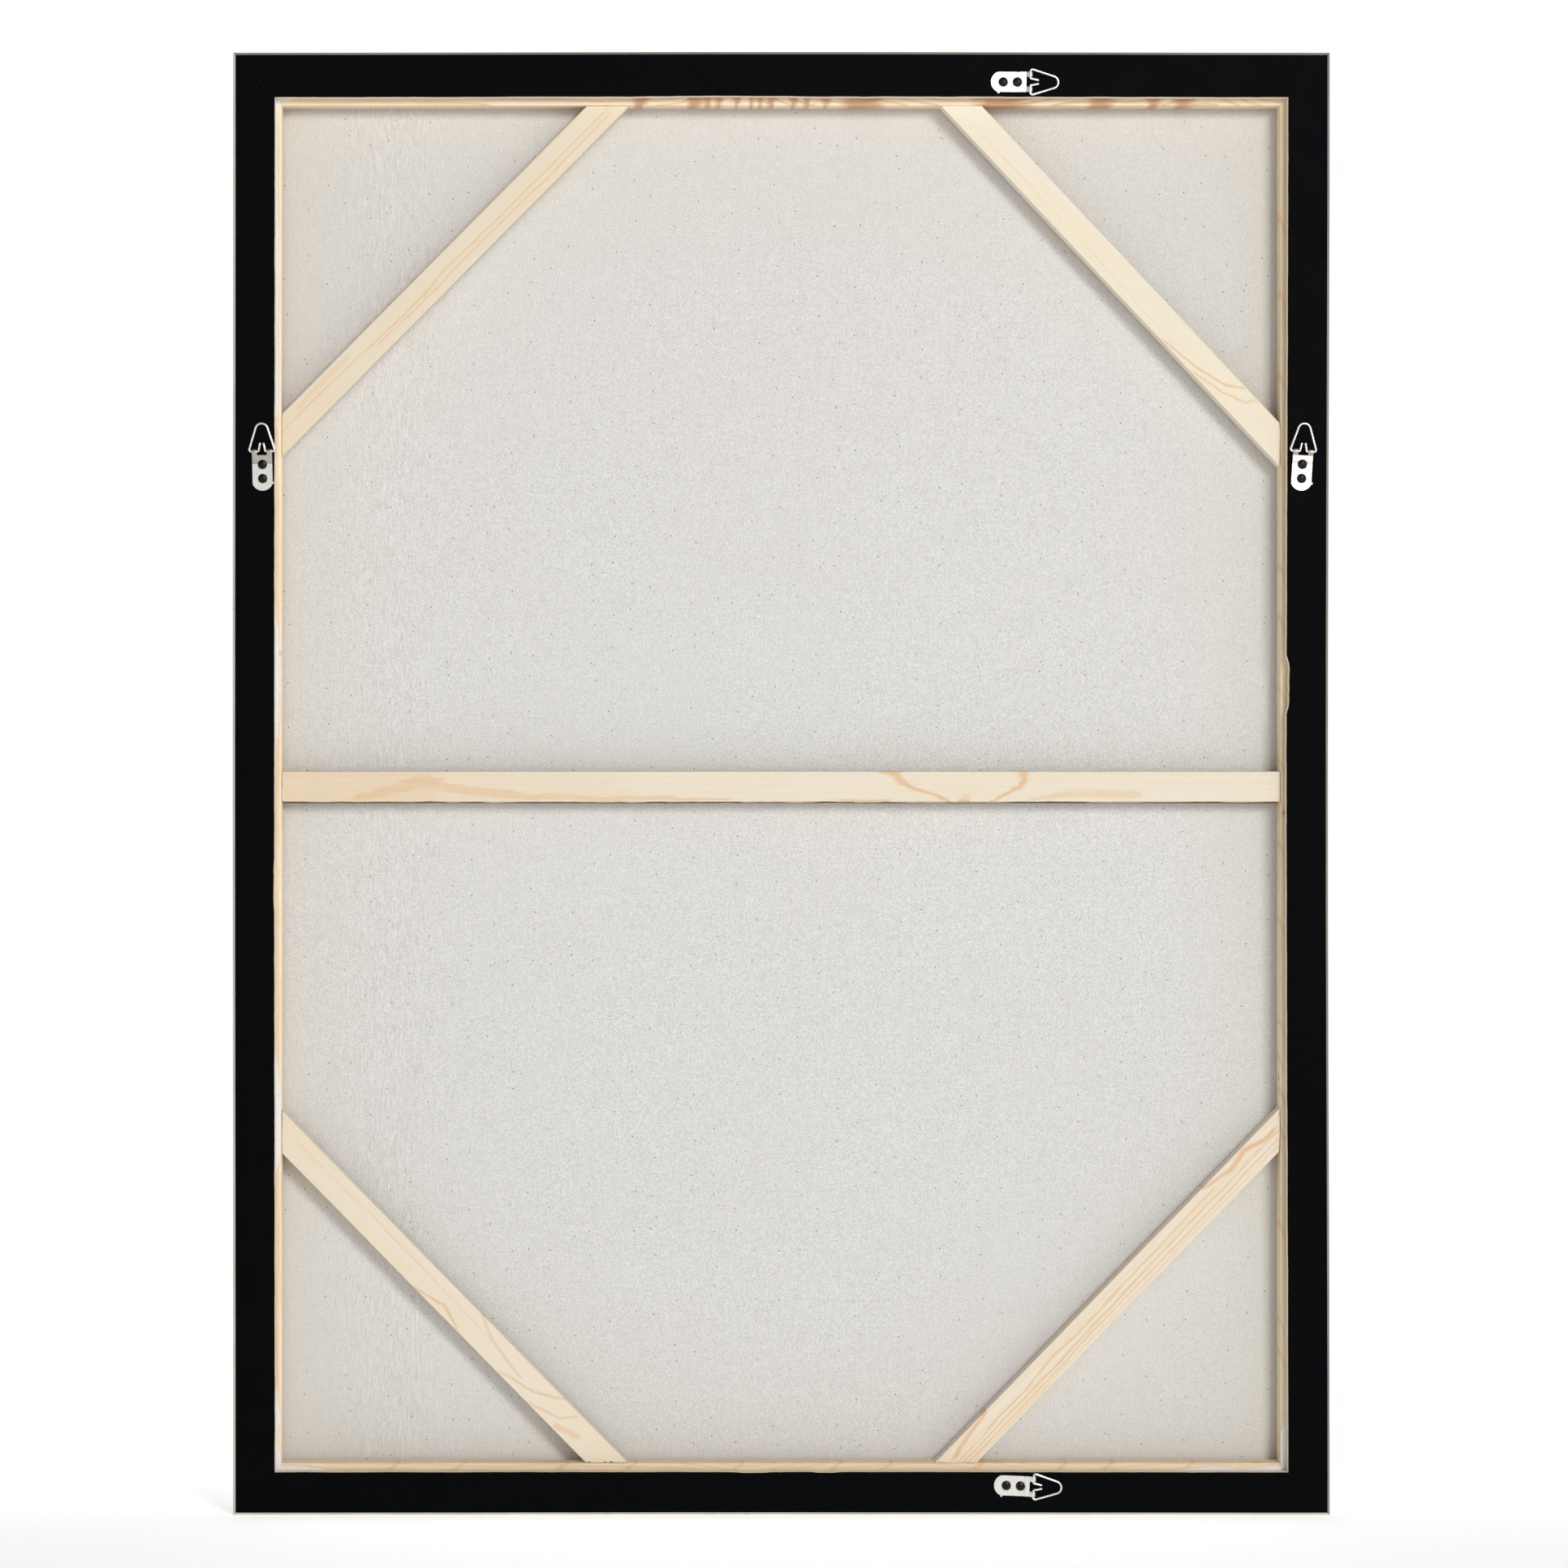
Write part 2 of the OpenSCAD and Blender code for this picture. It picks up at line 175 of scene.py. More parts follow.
def side_matrix(side, w, h, z=0.0):
    """Puts a piece made along the bottom edge on any side of a w by h rectangle that starts at height z."""
    inner = Matrix.Translation((0, 0, -(h if side % 2 == 0 else w) / 2))
    return Matrix.Translation((0, 0, z + h / 2)) @ Matrix.Rotation(-math.pi / 2 * side, 4, "Y") @ inner


def widened(side, z, extra, start, end):
    """Moves a point of a level piece inward, in proportion from start to end, by its side's extra width."""
    return z + extra.get(side, 0.0) * min(1.0, max(0.0, (z - start) / (end - start)))


def mitred_bar(name, side, w, h, z, corners, step, station, materials, shape, offset):
    """A stick with mitred ends on one side of a rectangle. shape(x, y, z) gives the moved (y, z), and
    offset(neighbour, z) is how far the mitre lies from the corner where the piece is z wide."""
    profile, slots = rounded_profile(corners, step)
    length = w if side % 2 == 0 else h
    count = int(length / station)
    rings = []
    neighbours = ((side - 1) % 4, (side + 1) % 4)
    for i in range(count + 1):
        t = 2 * i / count - 1
        ring = []
        for y0, z0 in profile:
            x = t * (length / 2 - offset(neighbours[t > 0], z0))
            ring.append((x, *shape(x, y0, z0)))
        rings.append(ring)
    faces, face_slots = loft(rings, slots)
    verts = [v for ring in rings for v in ring]
    return make_object(name, verts, faces, materials, face_slots, side_matrix(side, w, h, z))


END_BULGE = 0.6  # how far a wire's rounded end stands out, as a share of its radius


def tube(path, radius, normal, around=20):
    """Rings of a round wire along a plane path, with rounded-off ends."""
    path = [np.array(p, float) for p in path]
    normal = np.array(normal, float)
    rings = []

    def ring(centre, along, r):
        across = np.cross(along, normal)
        across /= np.linalg.norm(across)
        return [centre + r * (math.cos(a) * across + math.sin(a) * normal)
                for a in np.linspace(0, 2 * math.pi, around, endpoint=False)]

    last = len(path) - 1
    end_angles = {0: (-80, -55, -30, 0), last: (0, 30, 55, 80)}
    for i, point in enumerate(path):
        along = path[min(i + 1, last)] - path[max(i - 1, 0)]
        along /= np.linalg.norm(along)
        for a in map(math.radians, end_angles.get(i, (0,))):
            rings.append(ring(point + along * radius * END_BULGE * math.sin(a), along, radius * math.cos(a)))
    return rings


def arc_points(centre, radius, start, end, count):
    return [(centre[0] + radius * math.cos(math.radians(a)), centre[1] + radius * math.sin(math.radians(a)))
            for a in np.linspace(start, end, count)]


def mark(obj, strokes, seed):
    """Writes how much of a darker figure each point carries: strokes are polylines of (x, z, half width)
    in mm with a strength, in the piece's own coordinates. Strengths above 1.6 also give painted shade, a dark
    line."""
    co = np.array([v.co[:] for v in obj.data.vertices])
    x, z = co[:, 0] / MM, co[:, 2] / MM
    sway = np.array([noise.noise(Vector((a / 21, b / 6, seed))) for a, b in zip(x, z)])
    ragged = np.array([noise.noise(Vector((a / 7, b / 1.3, seed + 9))) for a, b in zip(x, z)])
    total = np.zeros(len(x))
    for points, strength in strokes:
        best = np.zeros(len(x))
        for (x0, z0, w0), (x1, z1, w1) in zip(points, points[1:]):
            dx, dz = x1 - x0, z1 - z0
            t = np.clip(((x - x0) * dx + (z - z0) * dz) / (dx * dx + dz * dz), 0, 1)
            width = w0 + (w1 - w0) * t
            away = np.hypot(x - x0 - dx * t, z - z0 - dz * t + sway * np.minimum(width, 1.6)) / width
            edge = np.clip((1.35 - away + 0.45 * ragged) / 0.9, 0, 1)
            best = np.maximum(best, edge * edge * (3 - 2 * edge))
        total = np.maximum(total, best * strength)
    layer = obj.data.attributes.new("figure", "FLOAT", "POINT")
    layer.data.foreach_set("value", total)


# ---------- materials ----------

def rgb(r, g, b):
    """Linear colour with alpha from sRGB values of 0 to 255."""
    linear = [c / 255 / 12.92 if c <= 10 else ((c / 255 + 0.055) / 1.055) ** 2.4 for c in (r, g, b)]
    return (*linear, 1.0)


class Look:
    """Writes one material's node tree. Values may be numbers, vectors or sockets."""

    def __init__(self, name):
        self.material = bpy.data.materials.new(name)
        self.material.use_nodes = True
        self.tree = self.material.node_tree
        self.shader = self.tree.nodes["Principled BSDF"]
        self.place = self.node("ShaderNodeTexCoord").outputs["Object"]

    def node(self, kind, inputs=None, **settings):
        made = self.tree.nodes.new(kind)
        for key, value in settings.items():
            setattr(made, key, value)
        for key, value in (inputs or {}).items():
            self.feed(made.inputs[key], value)
        return made

    def feed(self, socket, value):
        if isinstance(value, bpy.types.NodeSocket):
            self.tree.links.new(value, socket)
        else:
            socket.default_value = value

    def math(self, operation, a, b=0.0, clamp=False):
        return self.node("ShaderNodeMath", {0: a, 1: b}, operation=operation, use_clamp=clamp).outputs[0]

    def times(self, a, b, clamp=False):
        return self.math("MULTIPLY", a, b, clamp)

    def plus(self, a, b):
        return self.math("ADD", a, b)

    def minus(self, a, b):
        return self.math("SUBTRACT", a, b)

    def vector(self, operation, a, b=(0, 0, 0)):
        made = self.node("ShaderNodeVectorMath", {0: a, 1: b}, operation=operation)
        return made.outputs["Value" if operation in ("LENGTH", "DOT_PRODUCT") else "Vector"]

    def split(self, vector):
        made = self.node("ShaderNodeSeparateXYZ", {0: vector})
        return made.outputs[0], made.outputs[1], made.outputs[2]

    def noise(self, scale, detail=2.0, roughness=0.5, stretch=None, shift=0.0):
        vector = self.place
        if stretch is not None:
            vector = self.vector("MULTIPLY", vector, stretch)
        if shift:
            vector = self.vector("ADD", vector, (shift, shift * 0.37, shift * 0.71))
        made = self.node("ShaderNodeTexNoise", {"Vector": vector, "Scale": scale, "Detail": detail,
                                                "Roughness": roughness})
        return made.outputs["Fac"]

    def spread(self, value, low, high, to_low=0.0, to_high=1.0, smooth=False):
        made = self.node("ShaderNodeMapRange", {0: value, 1: low, 2: high, 3: to_low, 4: to_high})
        made.interpolation_type = "SMOOTHSTEP" if smooth else "LINEAR"
        return made.outputs[0]

    def ramp(self, value, stops):
        made = self.node("ShaderNodeValToRGB", {0: value})
        elements = made.color_ramp.elements
        while len(elements) < len(stops):
            elements.new(0.5)
        for element, (position, colour) in zip(elements, stops):
            element.position = position
            element.color = colour
        return made.outputs[0]

    def mix(self, factor, a, b):
        made = self.node("ShaderNodeMix", {0: factor, 6: a, 7: b}, data_type="RGBA", blend_type="MIX")
        return made.outputs[2]

    def layers(self, colour, *steps):
        """Lays tones over a colour: each step is (value, low, high, share at low, share at high, tone)."""
        for value, low, high, at_low, at_high, tone in steps:
            colour = self.mix(self.spread(value, low, high, at_low, at_high), colour, rgb(*tone))
        return colour

    def bump(self, height, distance, strength):
        inputs = {"Height": height, "Distance": distance, "Strength": strength}
        return self.node("ShaderNodeBump", inputs).outputs[0]

    def finish(self, **sockets):
        for key, value in sockets.items():
            self.feed(self.shader.inputs[key.replace("_", " ")], value)
        return self.material


def hump(look, x, centre, width, height):
    """A bell-shaped rise of that height about centre."""
    t = look.math("DIVIDE", look.minus(x, centre), width)
    fall = look.math("EXPONENT", look.times(look.times(t, t), -1.0))
    return look.times(fall, height)


def pine(name, pith, drift=(0.0, 0.0), pitch=2.6 * MM, contrast=0.5, warmth=0.0, swirls=(), knots=(),
         seed=1.0, light=(241, 225, 199), dark=(217, 178, 128), figure=(219, 178, 132)):
    """Planed pine. Growth rings are cylinders about a pith that runs along X, offset and tilted, so flat
    faces show straight lines or arches. swirls bend the rings near a place along X, each knot is
    (x, y, z, radius), and figure is the colour of the piece's own marks."""
    look = Look(name)
    x, y, z = look.split(look.place)
    offsets = []
    for i, (value, stretch, reach) in enumerate(((y, (5, 28, 28), 16 * MM), (z, (7, 30, 30), 12 * MM))):
        slow = look.noise(1.0, 2.0, 0.5, stretch=stretch, shift=seed + 31 * i)
        wave = look.times(look.minus(slow, 0.5), reach)
        offsets.append(look.plus(look.plus(look.minus(value, pith[i]), wave), look.times(x, drift[i])))
    dy, dz = offsets
    for centre, width, height in swirls:
        dz = look.plus(dz, hump(look, x, centre, width, height))
    radius = look.math("SQRT", look.plus(look.times(dy, dy), look.times(dz, dz)))
    uneven = look.noise(1.0, 3.0, 0.6, stretch=(30, 160, 160), shift=seed + 5)
    rings = look.plus(look.math("DIVIDE", radius, pitch), look.times(uneven, 0.5))
    place_in_ring = look.math("FRACT", rings)
    greys = ((0.0, 0.25), (0.12, 0), (0.5, 0.06), (0.82, 0.55), (0.94, 1), (1.0, 0.25))
    late = look.ramp(place_in_ring, [(at, (grey, grey, grey, 1)) for at, grey in greys])
    which = look.noise(1.0, 1.0, 0.5, stretch=(3, 70, 70), shift=seed + 11)
    weight = look.spread(which, 0.32, 0.68, 0.35 * contrast, 1.35 * contrast)
    amount = look.times(late, weight, clamp=True)
    colour = look.mix(amount, rgb(*light), rgb(*dark))
    tone = look.noise(1.0, 3.0, 0.55, stretch=(9, 60, 60), shift=seed + 17)
    patch = look.spread(tone, 0.42, 0.78, 0.0, 0.38 + warmth)
    colour = look.mix(patch, colour, rgb(229, 208, 172))
    marked = look.node("ShaderNodeAttribute", attribute_name="figure").outputs["Fac"]
    smear = look.noise(1.0, 4.0, 0.6, stretch=(45, 900, 900), shift=seed + 41)
    # Painted shade: marks stronger than 1.6 turn dark brown, standing for the shadow at a brace's lower edge
    painted_shade_line = look.spread(marked, 1.6, 2.6)
    marked = look.times(marked, look.spread(smear, 0.25, 0.7, 0.72, 1.15), clamp=True)
    colour = look.mix(marked, colour, rgb(*figure))
    colour = look.mix(painted_shade_line, colour, rgb(58, 45, 34))
    fibre = look.noise(1.0, 4.0, 0.65, stretch=(28, 2400, 2400), shift=seed + 3)
    fleck = look.noise(1.0, 2.0, 0.5, stretch=(110, 5200, 5200), shift=seed + 7)
    colour = look.layers(
        colour,
        (fibre, 0.3, 0.75, 0.0, 0.20, (212, 181, 140)),
        (fleck, 0.62, 0.80, 0.0, 0.45, (196, 158, 112)),
    )
    for kx, ky, kz, size in knots:
        away = look.vector("MULTIPLY", look.vector("SUBTRACT", look.place, (kx, ky, kz)), (0.7, 1.0, 1.0))
        rough = look.noise(900.0, 2.0, 0.6, shift=seed + 23)
        reach = look.plus(look.vector("LENGTH", away),
                          look.times(look.minus(rough, 0.5), size * 0.9))
        for inner, outer, share, tone in ((1.1, 3.4, 0.55, (196, 142, 88)), (0.5, 1.15, 0.93, (84, 52, 30))):
            near = look.spread(reach, size * inner, size * outer, share, 0.0, True)
            colour = look.mix(near, colour, rgb(*tone))
    gloss = look.spread(fibre, 0.3, 0.7, 0.62, 0.74)
    height = look.plus(look.times(fibre, 0.7), look.times(amount, -0.25))
    normal = look.bump(height, 0.12 * MM, 0.55)
    return look.finish(Base_Color=colour, Roughness=gloss, Normal=normal, Specular_IOR_Level=0.25)


def weave_height(look, pitch):
    """Plain weave: threads along X and Z that pass over and under each other."""
    x, y, z = look.split(look.place)
    drift = look.noise(260.0, 2.0, 0.5)
    drift_b = look.noise(240.0, 2.0, 0.5, shift=9.0)
    across = look.plus(look.math("DIVIDE", x, pitch), look.times(drift, 0.9))
    along = look.plus(look.math("DIVIDE", z, pitch), look.times(drift_b, 0.9))
    waves = [look.math("SINE", look.times(value, math.pi)) for value in (across, along)]
    roots = [look.math("POWER", look.math("ABSOLUTE", wave), 0.5) for wave in waves]
    return look.plus(look.times(*roots), look.times(look.times(*waves), 0.35))


def raw_canvas(name):
    look = Look(name)
    weave = weave_height(look, 0.62 * MM)
    x, _, z = look.split(look.place)
    slub_x = look.noise(1.0, 3.0, 0.6, stretch=(34, 22, 1250), shift=2.0)
    slub_z = look.noise(1.0, 3.0, 0.6, stretch=(1250, 22, 46), shift=4.0)
    grain = look.noise(1150.0, 3.0, 0.75, shift=15.0)
    cloud = look.noise(7.0, 3.0, 0.55, shift=6.0)
    colour = look.mix(look.spread(weave, 0.0, 1.2, 0.0, 1.0), rgb(207, 206, 203), rgb(229, 228, 226))
    colour = look.layers(
        colour,
        (slub_x, 0.35, 0.72, 0.0, 0.34, (201, 199, 195)),
        (slub_z, 0.35, 0.72, 0.0, 0.26, (238, 237, 234)),
        (grain, 0.30, 0.52, 0.76, 0.0, (178, 174, 168)),
        (grain, 0.52, 0.74, 0.0, 0.72, (250, 249, 247)),
        (cloud, 0.35, 0.7, 0.0, 0.14, (216, 210, 201)),
    )
    # Painted shade: the cloth is darker towards its corners, where the frame shades it, and darker towards
    # the top
    off_middle = (look.math("DIVIDE", x, 0.33), look.math("DIVIDE", look.minus(z, frame_h / 2), 0.46))
    corner = look.plus(*(look.math("POWER", look.math("ABSOLUTE", off), 4.0) for off in off_middle))
    colour = look.layers(
        colour,
        (corner, 0.35, 1.7, 0.0, 0.42, (204, 200, 191)),
        (z, 0.55, 1.0, 0.0, 0.22, (204, 197, 187)),
    )
    dashes = look.noise(1.0, 2.0, 0.5, stretch=(1300, 22, 150), shift=19.0)
    where = look.plus(hump(look, x, -0.272, 0.036, 0.85), 0.10)
    pale = look.times(look.spread(dashes, 0.56, 0.70, 0.0, 0.34), where)
    colour = look.mix(pale, colour, rgb(250, 249, 247))
    deep = look.times(look.spread(dashes, 0.30, 0.44, 0.40, 0.0), where)
    colour = look.mix(deep, colour, rgb(178, 172, 162))
    flat = look.node("ShaderNodeCombineXYZ", {0: x, 1: look.times(z, 0.8)}).outputs[0]
    for scale, size, share, strength in ((70.0, 0.026, 0.62, 0.95), (130.0, 0.032, 0.86, 0.75)):
        cells = look.node("ShaderNodeTexVoronoi", {"Vector": flat, "Scale": scale}, feature="F1",
                          voronoi_dimensions="2D")
        away = look.spread(cells.outputs["Distance"], size * 0.6, size * 1.4, 1.0, 0.0)
        chosen = look.split(cells.outputs["Color"])[0]
        speck = look.times(away, look.math("GREATER_THAN", chosen, share))
        colour = look.mix(look.times(speck, strength), colour, rgb(88, 70, 52))
    fuzz = look.noise(2600.0, 2.0, 0.6)
    height = look.plus(weave, look.times(fuzz, 0.5))
    height = look.plus(height, look.times(slub_z, 0.8))
    normal = look.bump(height, 0.16 * MM, 0.6)
    return look.finish(Base_Color=colour, Roughness=0.92, Normal=normal, Specular_IOR_Level=0.12,
                       Sheen_Weight=0.12, Sheen_Roughness=0.5)


def primer(name):
    look = Look(name)
    weave = weave_height(look, 0.78 * MM)
    cloud = look.noise(5.0, 2.0, 0.5)
    brushed = look.noise(1.0, 4.0, 0.65, stretch=(26, 60, 420), shift=3.0)
    crossed = look.noise(1.0, 4.0, 0.65, stretch=(420, 60, 26), shift=7.0)
    grain = look.noise(900.0, 3.0, 0.7, shift=11.0)
    colour = look.mix(look.spread(cloud, 0.35, 0.7), rgb(238, 238, 237), rgb(233, 234, 234))
    colour = look.layers(
        colour,
        (brushed, 0.35, 0.7, 0.0, 0.30, (222, 223, 223)),
        (crossed, 0.40, 0.75, 0.0, 0.25, (246, 246, 245)),
        (grain, 0.30, 0.50, 0.50, 0.0, (204, 205, 206)),
        (weave, 0.0, 0.35, 0.25, 0.0, (205, 205, 206)),
    )
    height = look.plus(weave, look.times(look.plus(brushed, crossed), 1.4))
    normal = look.bump(height, 0.12 * MM, 0.8)
    gloss = look.spread(cloud, 0.3, 0.7, 0.55, 0.68)
    return look.finish(Base_Color=colour, Roughness=gloss, Normal=normal, Specular_IOR_Level=0.3)


def black_paint(name):
    look = Look(name)
    grain = look.noise(1.0, 4.0, 0.6, stretch=(60, 1800, 1800))
    cloud = look.noise(40.0, 4.0, 0.6, shift=3.0)
    dust = look.noise(1500.0, 2.0, 0.5, shift=8.0)
    colour = look.mix(look.spread(cloud, 0.3, 0.75), rgb(2, 3, 5), rgb(5, 6, 8))
    colour = look.mix(look.spread(dust, 0.70, 0.82, 0.0, 0.4), colour, rgb(38, 37, 36))
    gloss = look.spread(cloud, 0.3, 0.7, 0.5, 0.66)
    height = look.plus(grain, look.times(cloud, 0.6))
    normal = look.bump(height, 0.10 * MM, 0.5)
    return look.finish(Base_Color=colour, Roughness=gloss, Normal=normal, Specular_IOR_Level=0.03)


def champagne(name, pale, deep):
    """Pale metallic foil with rubbed spots that show the base below."""
    look = Look(name)
    brushed = look.noise(1.0, 4.0, 0.6, stretch=(25, 1600, 1600))
    cloud = look.noise(26.0, 4.0, 0.6, shift=5.0)
    worn = look.noise(210.0, 4.0, 0.65, shift=12.0)
    colour = look.mix(look.spread(cloud, 0.3, 0.7), rgb(*pale), rgb(*deep))
    colour = look.mix(look.spread(brushed, 0.3, 0.75, 0.0, 0.30), colour, rgb(204, 198, 184))
    rubbed = look.spread(worn, 0.66, 0.72, 0.0, 1.0)
    colour = look.mix(look.times(rubbed, 0.75), colour, rgb(136, 112, 86))
    metal = look.spread(rubbed, 0.0, 1.0, 0.25, 0.0)
    gloss = look.spread(brushed, 0.3, 0.7, 0.42, 0.58)
    normal = look.bump(brushed, 0.04 * MM, 0.5)
    return look.finish(Base_Color=colour, Metallic=metal, Roughness=gloss, Normal=normal)


def bright_steel(name, tint=(224, 224, 220), rough=0.24, bend=None):
    """Bright plate. bend is (pin, direction, shade): painted shade on a band next to the pin where the plate
    bends, ended by a painted dark crease line.
    """
    look = Look(name)
    scratch = look.noise(1.0, 4.0, 0.65, stretch=(900, 900, 9000))
    cloud = look.noise(320.0, 3.0, 0.6, shift=2.0)
    colour = look.mix(look.spread(cloud, 0.35, 0.7, 0.0, 0.5), rgb(*tint), rgb(196, 193, 184))
    if bend:
        pin, towards, shade = bend
        reach = look.vector("DOT_PRODUCT", look.vector("SUBTRACT", look.place, pin), towards)
        reach = look.plus(reach, look.times(cloud, 0.9 * MM))
        # Painted shade on the bent band next to the pin, and a painted dark line at the crease
        painted_bend_shade = look.spread(reach, -7.6 * MM, -7.2 * MM, 0.0, shade)
        colour = look.mix(painted_bend_shade, colour, rgb(150, 140, 122))
        line = look.math("ABSOLUTE", look.plus(reach, 7.7 * MM))
        colour = look.mix(look.spread(line, 0.15 * MM, 0.5 * MM, 0.75, 0.0), colour, rgb(84, 78, 70))
    gloss = look.plus(look.spread(cloud, 0.3, 0.7, rough - 0.06, rough + 0.10),
                      look.spread(scratch, 0.45, 0.75, 0.0, 0.12))
    normal = look.bump(look.plus(scratch, cloud), 0.03 * MM, 0.5)
    return look.finish(Base_Color=colour, Metallic=0.92, Roughness=gloss, Normal=normal)


def black_phosphate(name):
    look = Look(name)
    cloud = look.noise(900.0, 3.0, 0.6)
    colour = look.mix(look.spread(cloud, 0.35, 0.7), rgb(6, 6, 7), rgb(14, 14, 15))
    gloss = look.spread(cloud, 0.3, 0.7, 0.26, 0.40)
    normal = look.bump(cloud, 0.03 * MM, 0.5)
    return look.finish(Base_Color=colour, Specular_IOR_Level=0.22, Roughness=gloss, Normal=normal)


black = black_paint("black_back")
foil = champagne("champagne_foil", (188, 181, 166), (168, 160, 145))
# Painted light and shade: the same foil in a lit copy for the left chamfer and shaded copies for the right
# and top ones
lit_and_shaded_edge_foils = {side: champagne(f"champagne_edge_painted_light_{SIDES[side]}", *tones) for side, tones in {
    BOTTOM: ((186, 178, 162), (166, 157, 140)), RIGHT: ((124, 117, 102), (108, 101, 88)),
    TOP: ((146, 139, 124), (128, 121, 107)), LEFT: ((206, 202, 191), (188, 182, 168)),
}.items()}
raw_edge = pine("raw_rail_edge", (0.06, -0.03), (0.01, 0.0), 2.2 * MM, 0.5, seed=40.0,
                light=(240, 226, 206), dark=(196, 164, 128))
steel = bright_steel("zinc_plate")
hidden = bright_steel("bright_wire", (206, 206, 204), 0.32)
screw_black = black_phosphate("screw_phosphate")

# ---------- picture frame ----------


def rail_shape(side):
    """Bow of a rail and the uneven inner edge of its flange, as a move of (y, z) along the rail."""
    bow = {RIGHT: 1.25 * MM, TOP: -0.5 * MM, LEFT: -0.35 * MM, BOTTOM: 0.25 * MM}[side]
    length = frame_w if side % 2 == 0 else frame_h
    notches = {
        RIGHT: [(48, 56, 82, 90, 1.9)],
        LEFT: [(50, 60, 78, 92, 0.5)],
        BOTTOM: [(-34, -26, -14, -4, 0.55), (20, 26, 34, 42, 0.4)],
        TOP: [(-20, 0, 60, 110, 0.35)],
    }[side]

    def shape(x, y, z):
        t = min(1.0, abs(x) / (length / 2))
        z = widened(side, z, FLANGE_EXTRA, lip_t, flange_w) + bow * math.cos(t * math.pi / 2) ** 2
        if z > 0.75 * flange_w:
            ends = smooth_step((length / 2 - abs(x) - flange_w) / (12 * MM))
            move = 0.13 * MM * wobble(x, side + 1, 19 * MM)
            move += 0.07 * MM * wobble(x, side + 9, 4 * MM)
            for a, b, c, d, deep in ([v * MM for v in notch] for notch in notches):
                inside = smooth_step((x - a) / (b - a)) * (1 - smooth_step((x - c) / (d - c)))
                move -= deep * inside * (1 + 0.12 * wobble(x, side + 5, 5 * MM))
            share = smooth_step((z / flange_w - 0.75) / 0.25)
            z += move * ends * share
        return y, z

    return shape


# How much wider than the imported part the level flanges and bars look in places
FLANGE_EXTRA = {TOP: 2.1 * MM, BOTTOM: 0.8 * MM}
BAR_EXTRA = {TOP: 2.5 * MM, BOTTOM: 1.5 * MM}
BACK_CHAMFER = 1.7 * MM
LIP_CHAMFER = 0.7 * MM
rail_corners = [
    (back_y + BACK_CHAMFER, 0.0, 0.2 * MM, 1),
    (back_y, BACK_CHAMFER, 0.15 * MM, 0),
    (back_y, flange_w, 0.35 * MM, 3),
    (back_y + flange_t, flange_w, 0.3 * MM, 0),
    (back_y + flange_t, lip_t, 0.2 * MM, 0),
    (front_y - LIP_CHAMFER, lip_t, 0.25 * MM, 2),
    (front_y, lip_t - LIP_CHAMFER, 0.25 * MM, 2),
    (front_y, LIP_CHAMFER, 0.25 * MM, 2),
    (front_y - LIP_CHAMFER, 0.0, 0.25 * MM, 2),
]
for side, word in enumerate(SIDES):
    rail = mitred_bar(f"rail_{word}", side, frame_w, frame_h, 0.0, rail_corners, 3 * MM, 2.4 * MM,
                      [black, lit_and_shaded_edge_foils[side], foil, raw_edge], rail_shape(side),
                      lambda neighbour, z: widened(neighbour, z, FLANGE_EXTRA, lip_t, flange_w))
    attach(rail, "picture")
    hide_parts(f"frame_rail_{word}")

# ---------- stretcher bars ----------

bar_looks = {
    BOTTOM: dict(pith=(-0.012, 0.052), drift=(0.006, 0.012), pitch=3.4 * MM, contrast=0.62, seed=3.0,
                 swirls=[(-0.02, 0.035, 9 * MM), (0.10, 0.07, -7 * MM), (0.20, 0.05, 6 * MM)],
                 knots=[(0.333, 0.001, 0.0222, 1.2 * MM)], light=(241, 223, 194), dark=(222, 180, 126)),
    RIGHT: dict(pith=(-0.03, 0.060), drift=(0.004, -0.01), pitch=4.2 * MM, contrast=0.45, seed=5.0,
                swirls=[(-0.30, 0.05, 7 * MM), (0.22, 0.06, -5 * MM)],
                knots=[(-0.0205, -0.0049, 0.0190, 0.9 * MM), (-0.2056, 0.002, 0.0221, 1.1 * MM)],
                light=(236, 221, 192), dark=(214, 178, 124)),
    TOP: dict(pith=(-0.020, 0.046), drift=(0.0, 0.02), pitch=3.6 * MM, contrast=1.0, warmth=0.15, seed=8.0,
              swirls=[(0.03, 0.035, 16 * MM), (-0.12, 0.05, -13 * MM), (-0.30, 0.03, 9 * MM)],
              knots=[(0.227, -0.0049, 0.0185, 0.45 * MM)],
              light=(240, 224, 199), dark=(208, 160, 112), figure=(186, 138, 98)),
    LEFT: dict(pith=(-0.05, 0.075), drift=(0.002, 0.004), pitch=3.0 * MM, contrast=0.35, seed=13.0,
               knots=[(-0.0908, -0.0049, 0.0200, 0.75 * MM)], light=(243, 227, 201), dark=(224, 186, 136)),
}
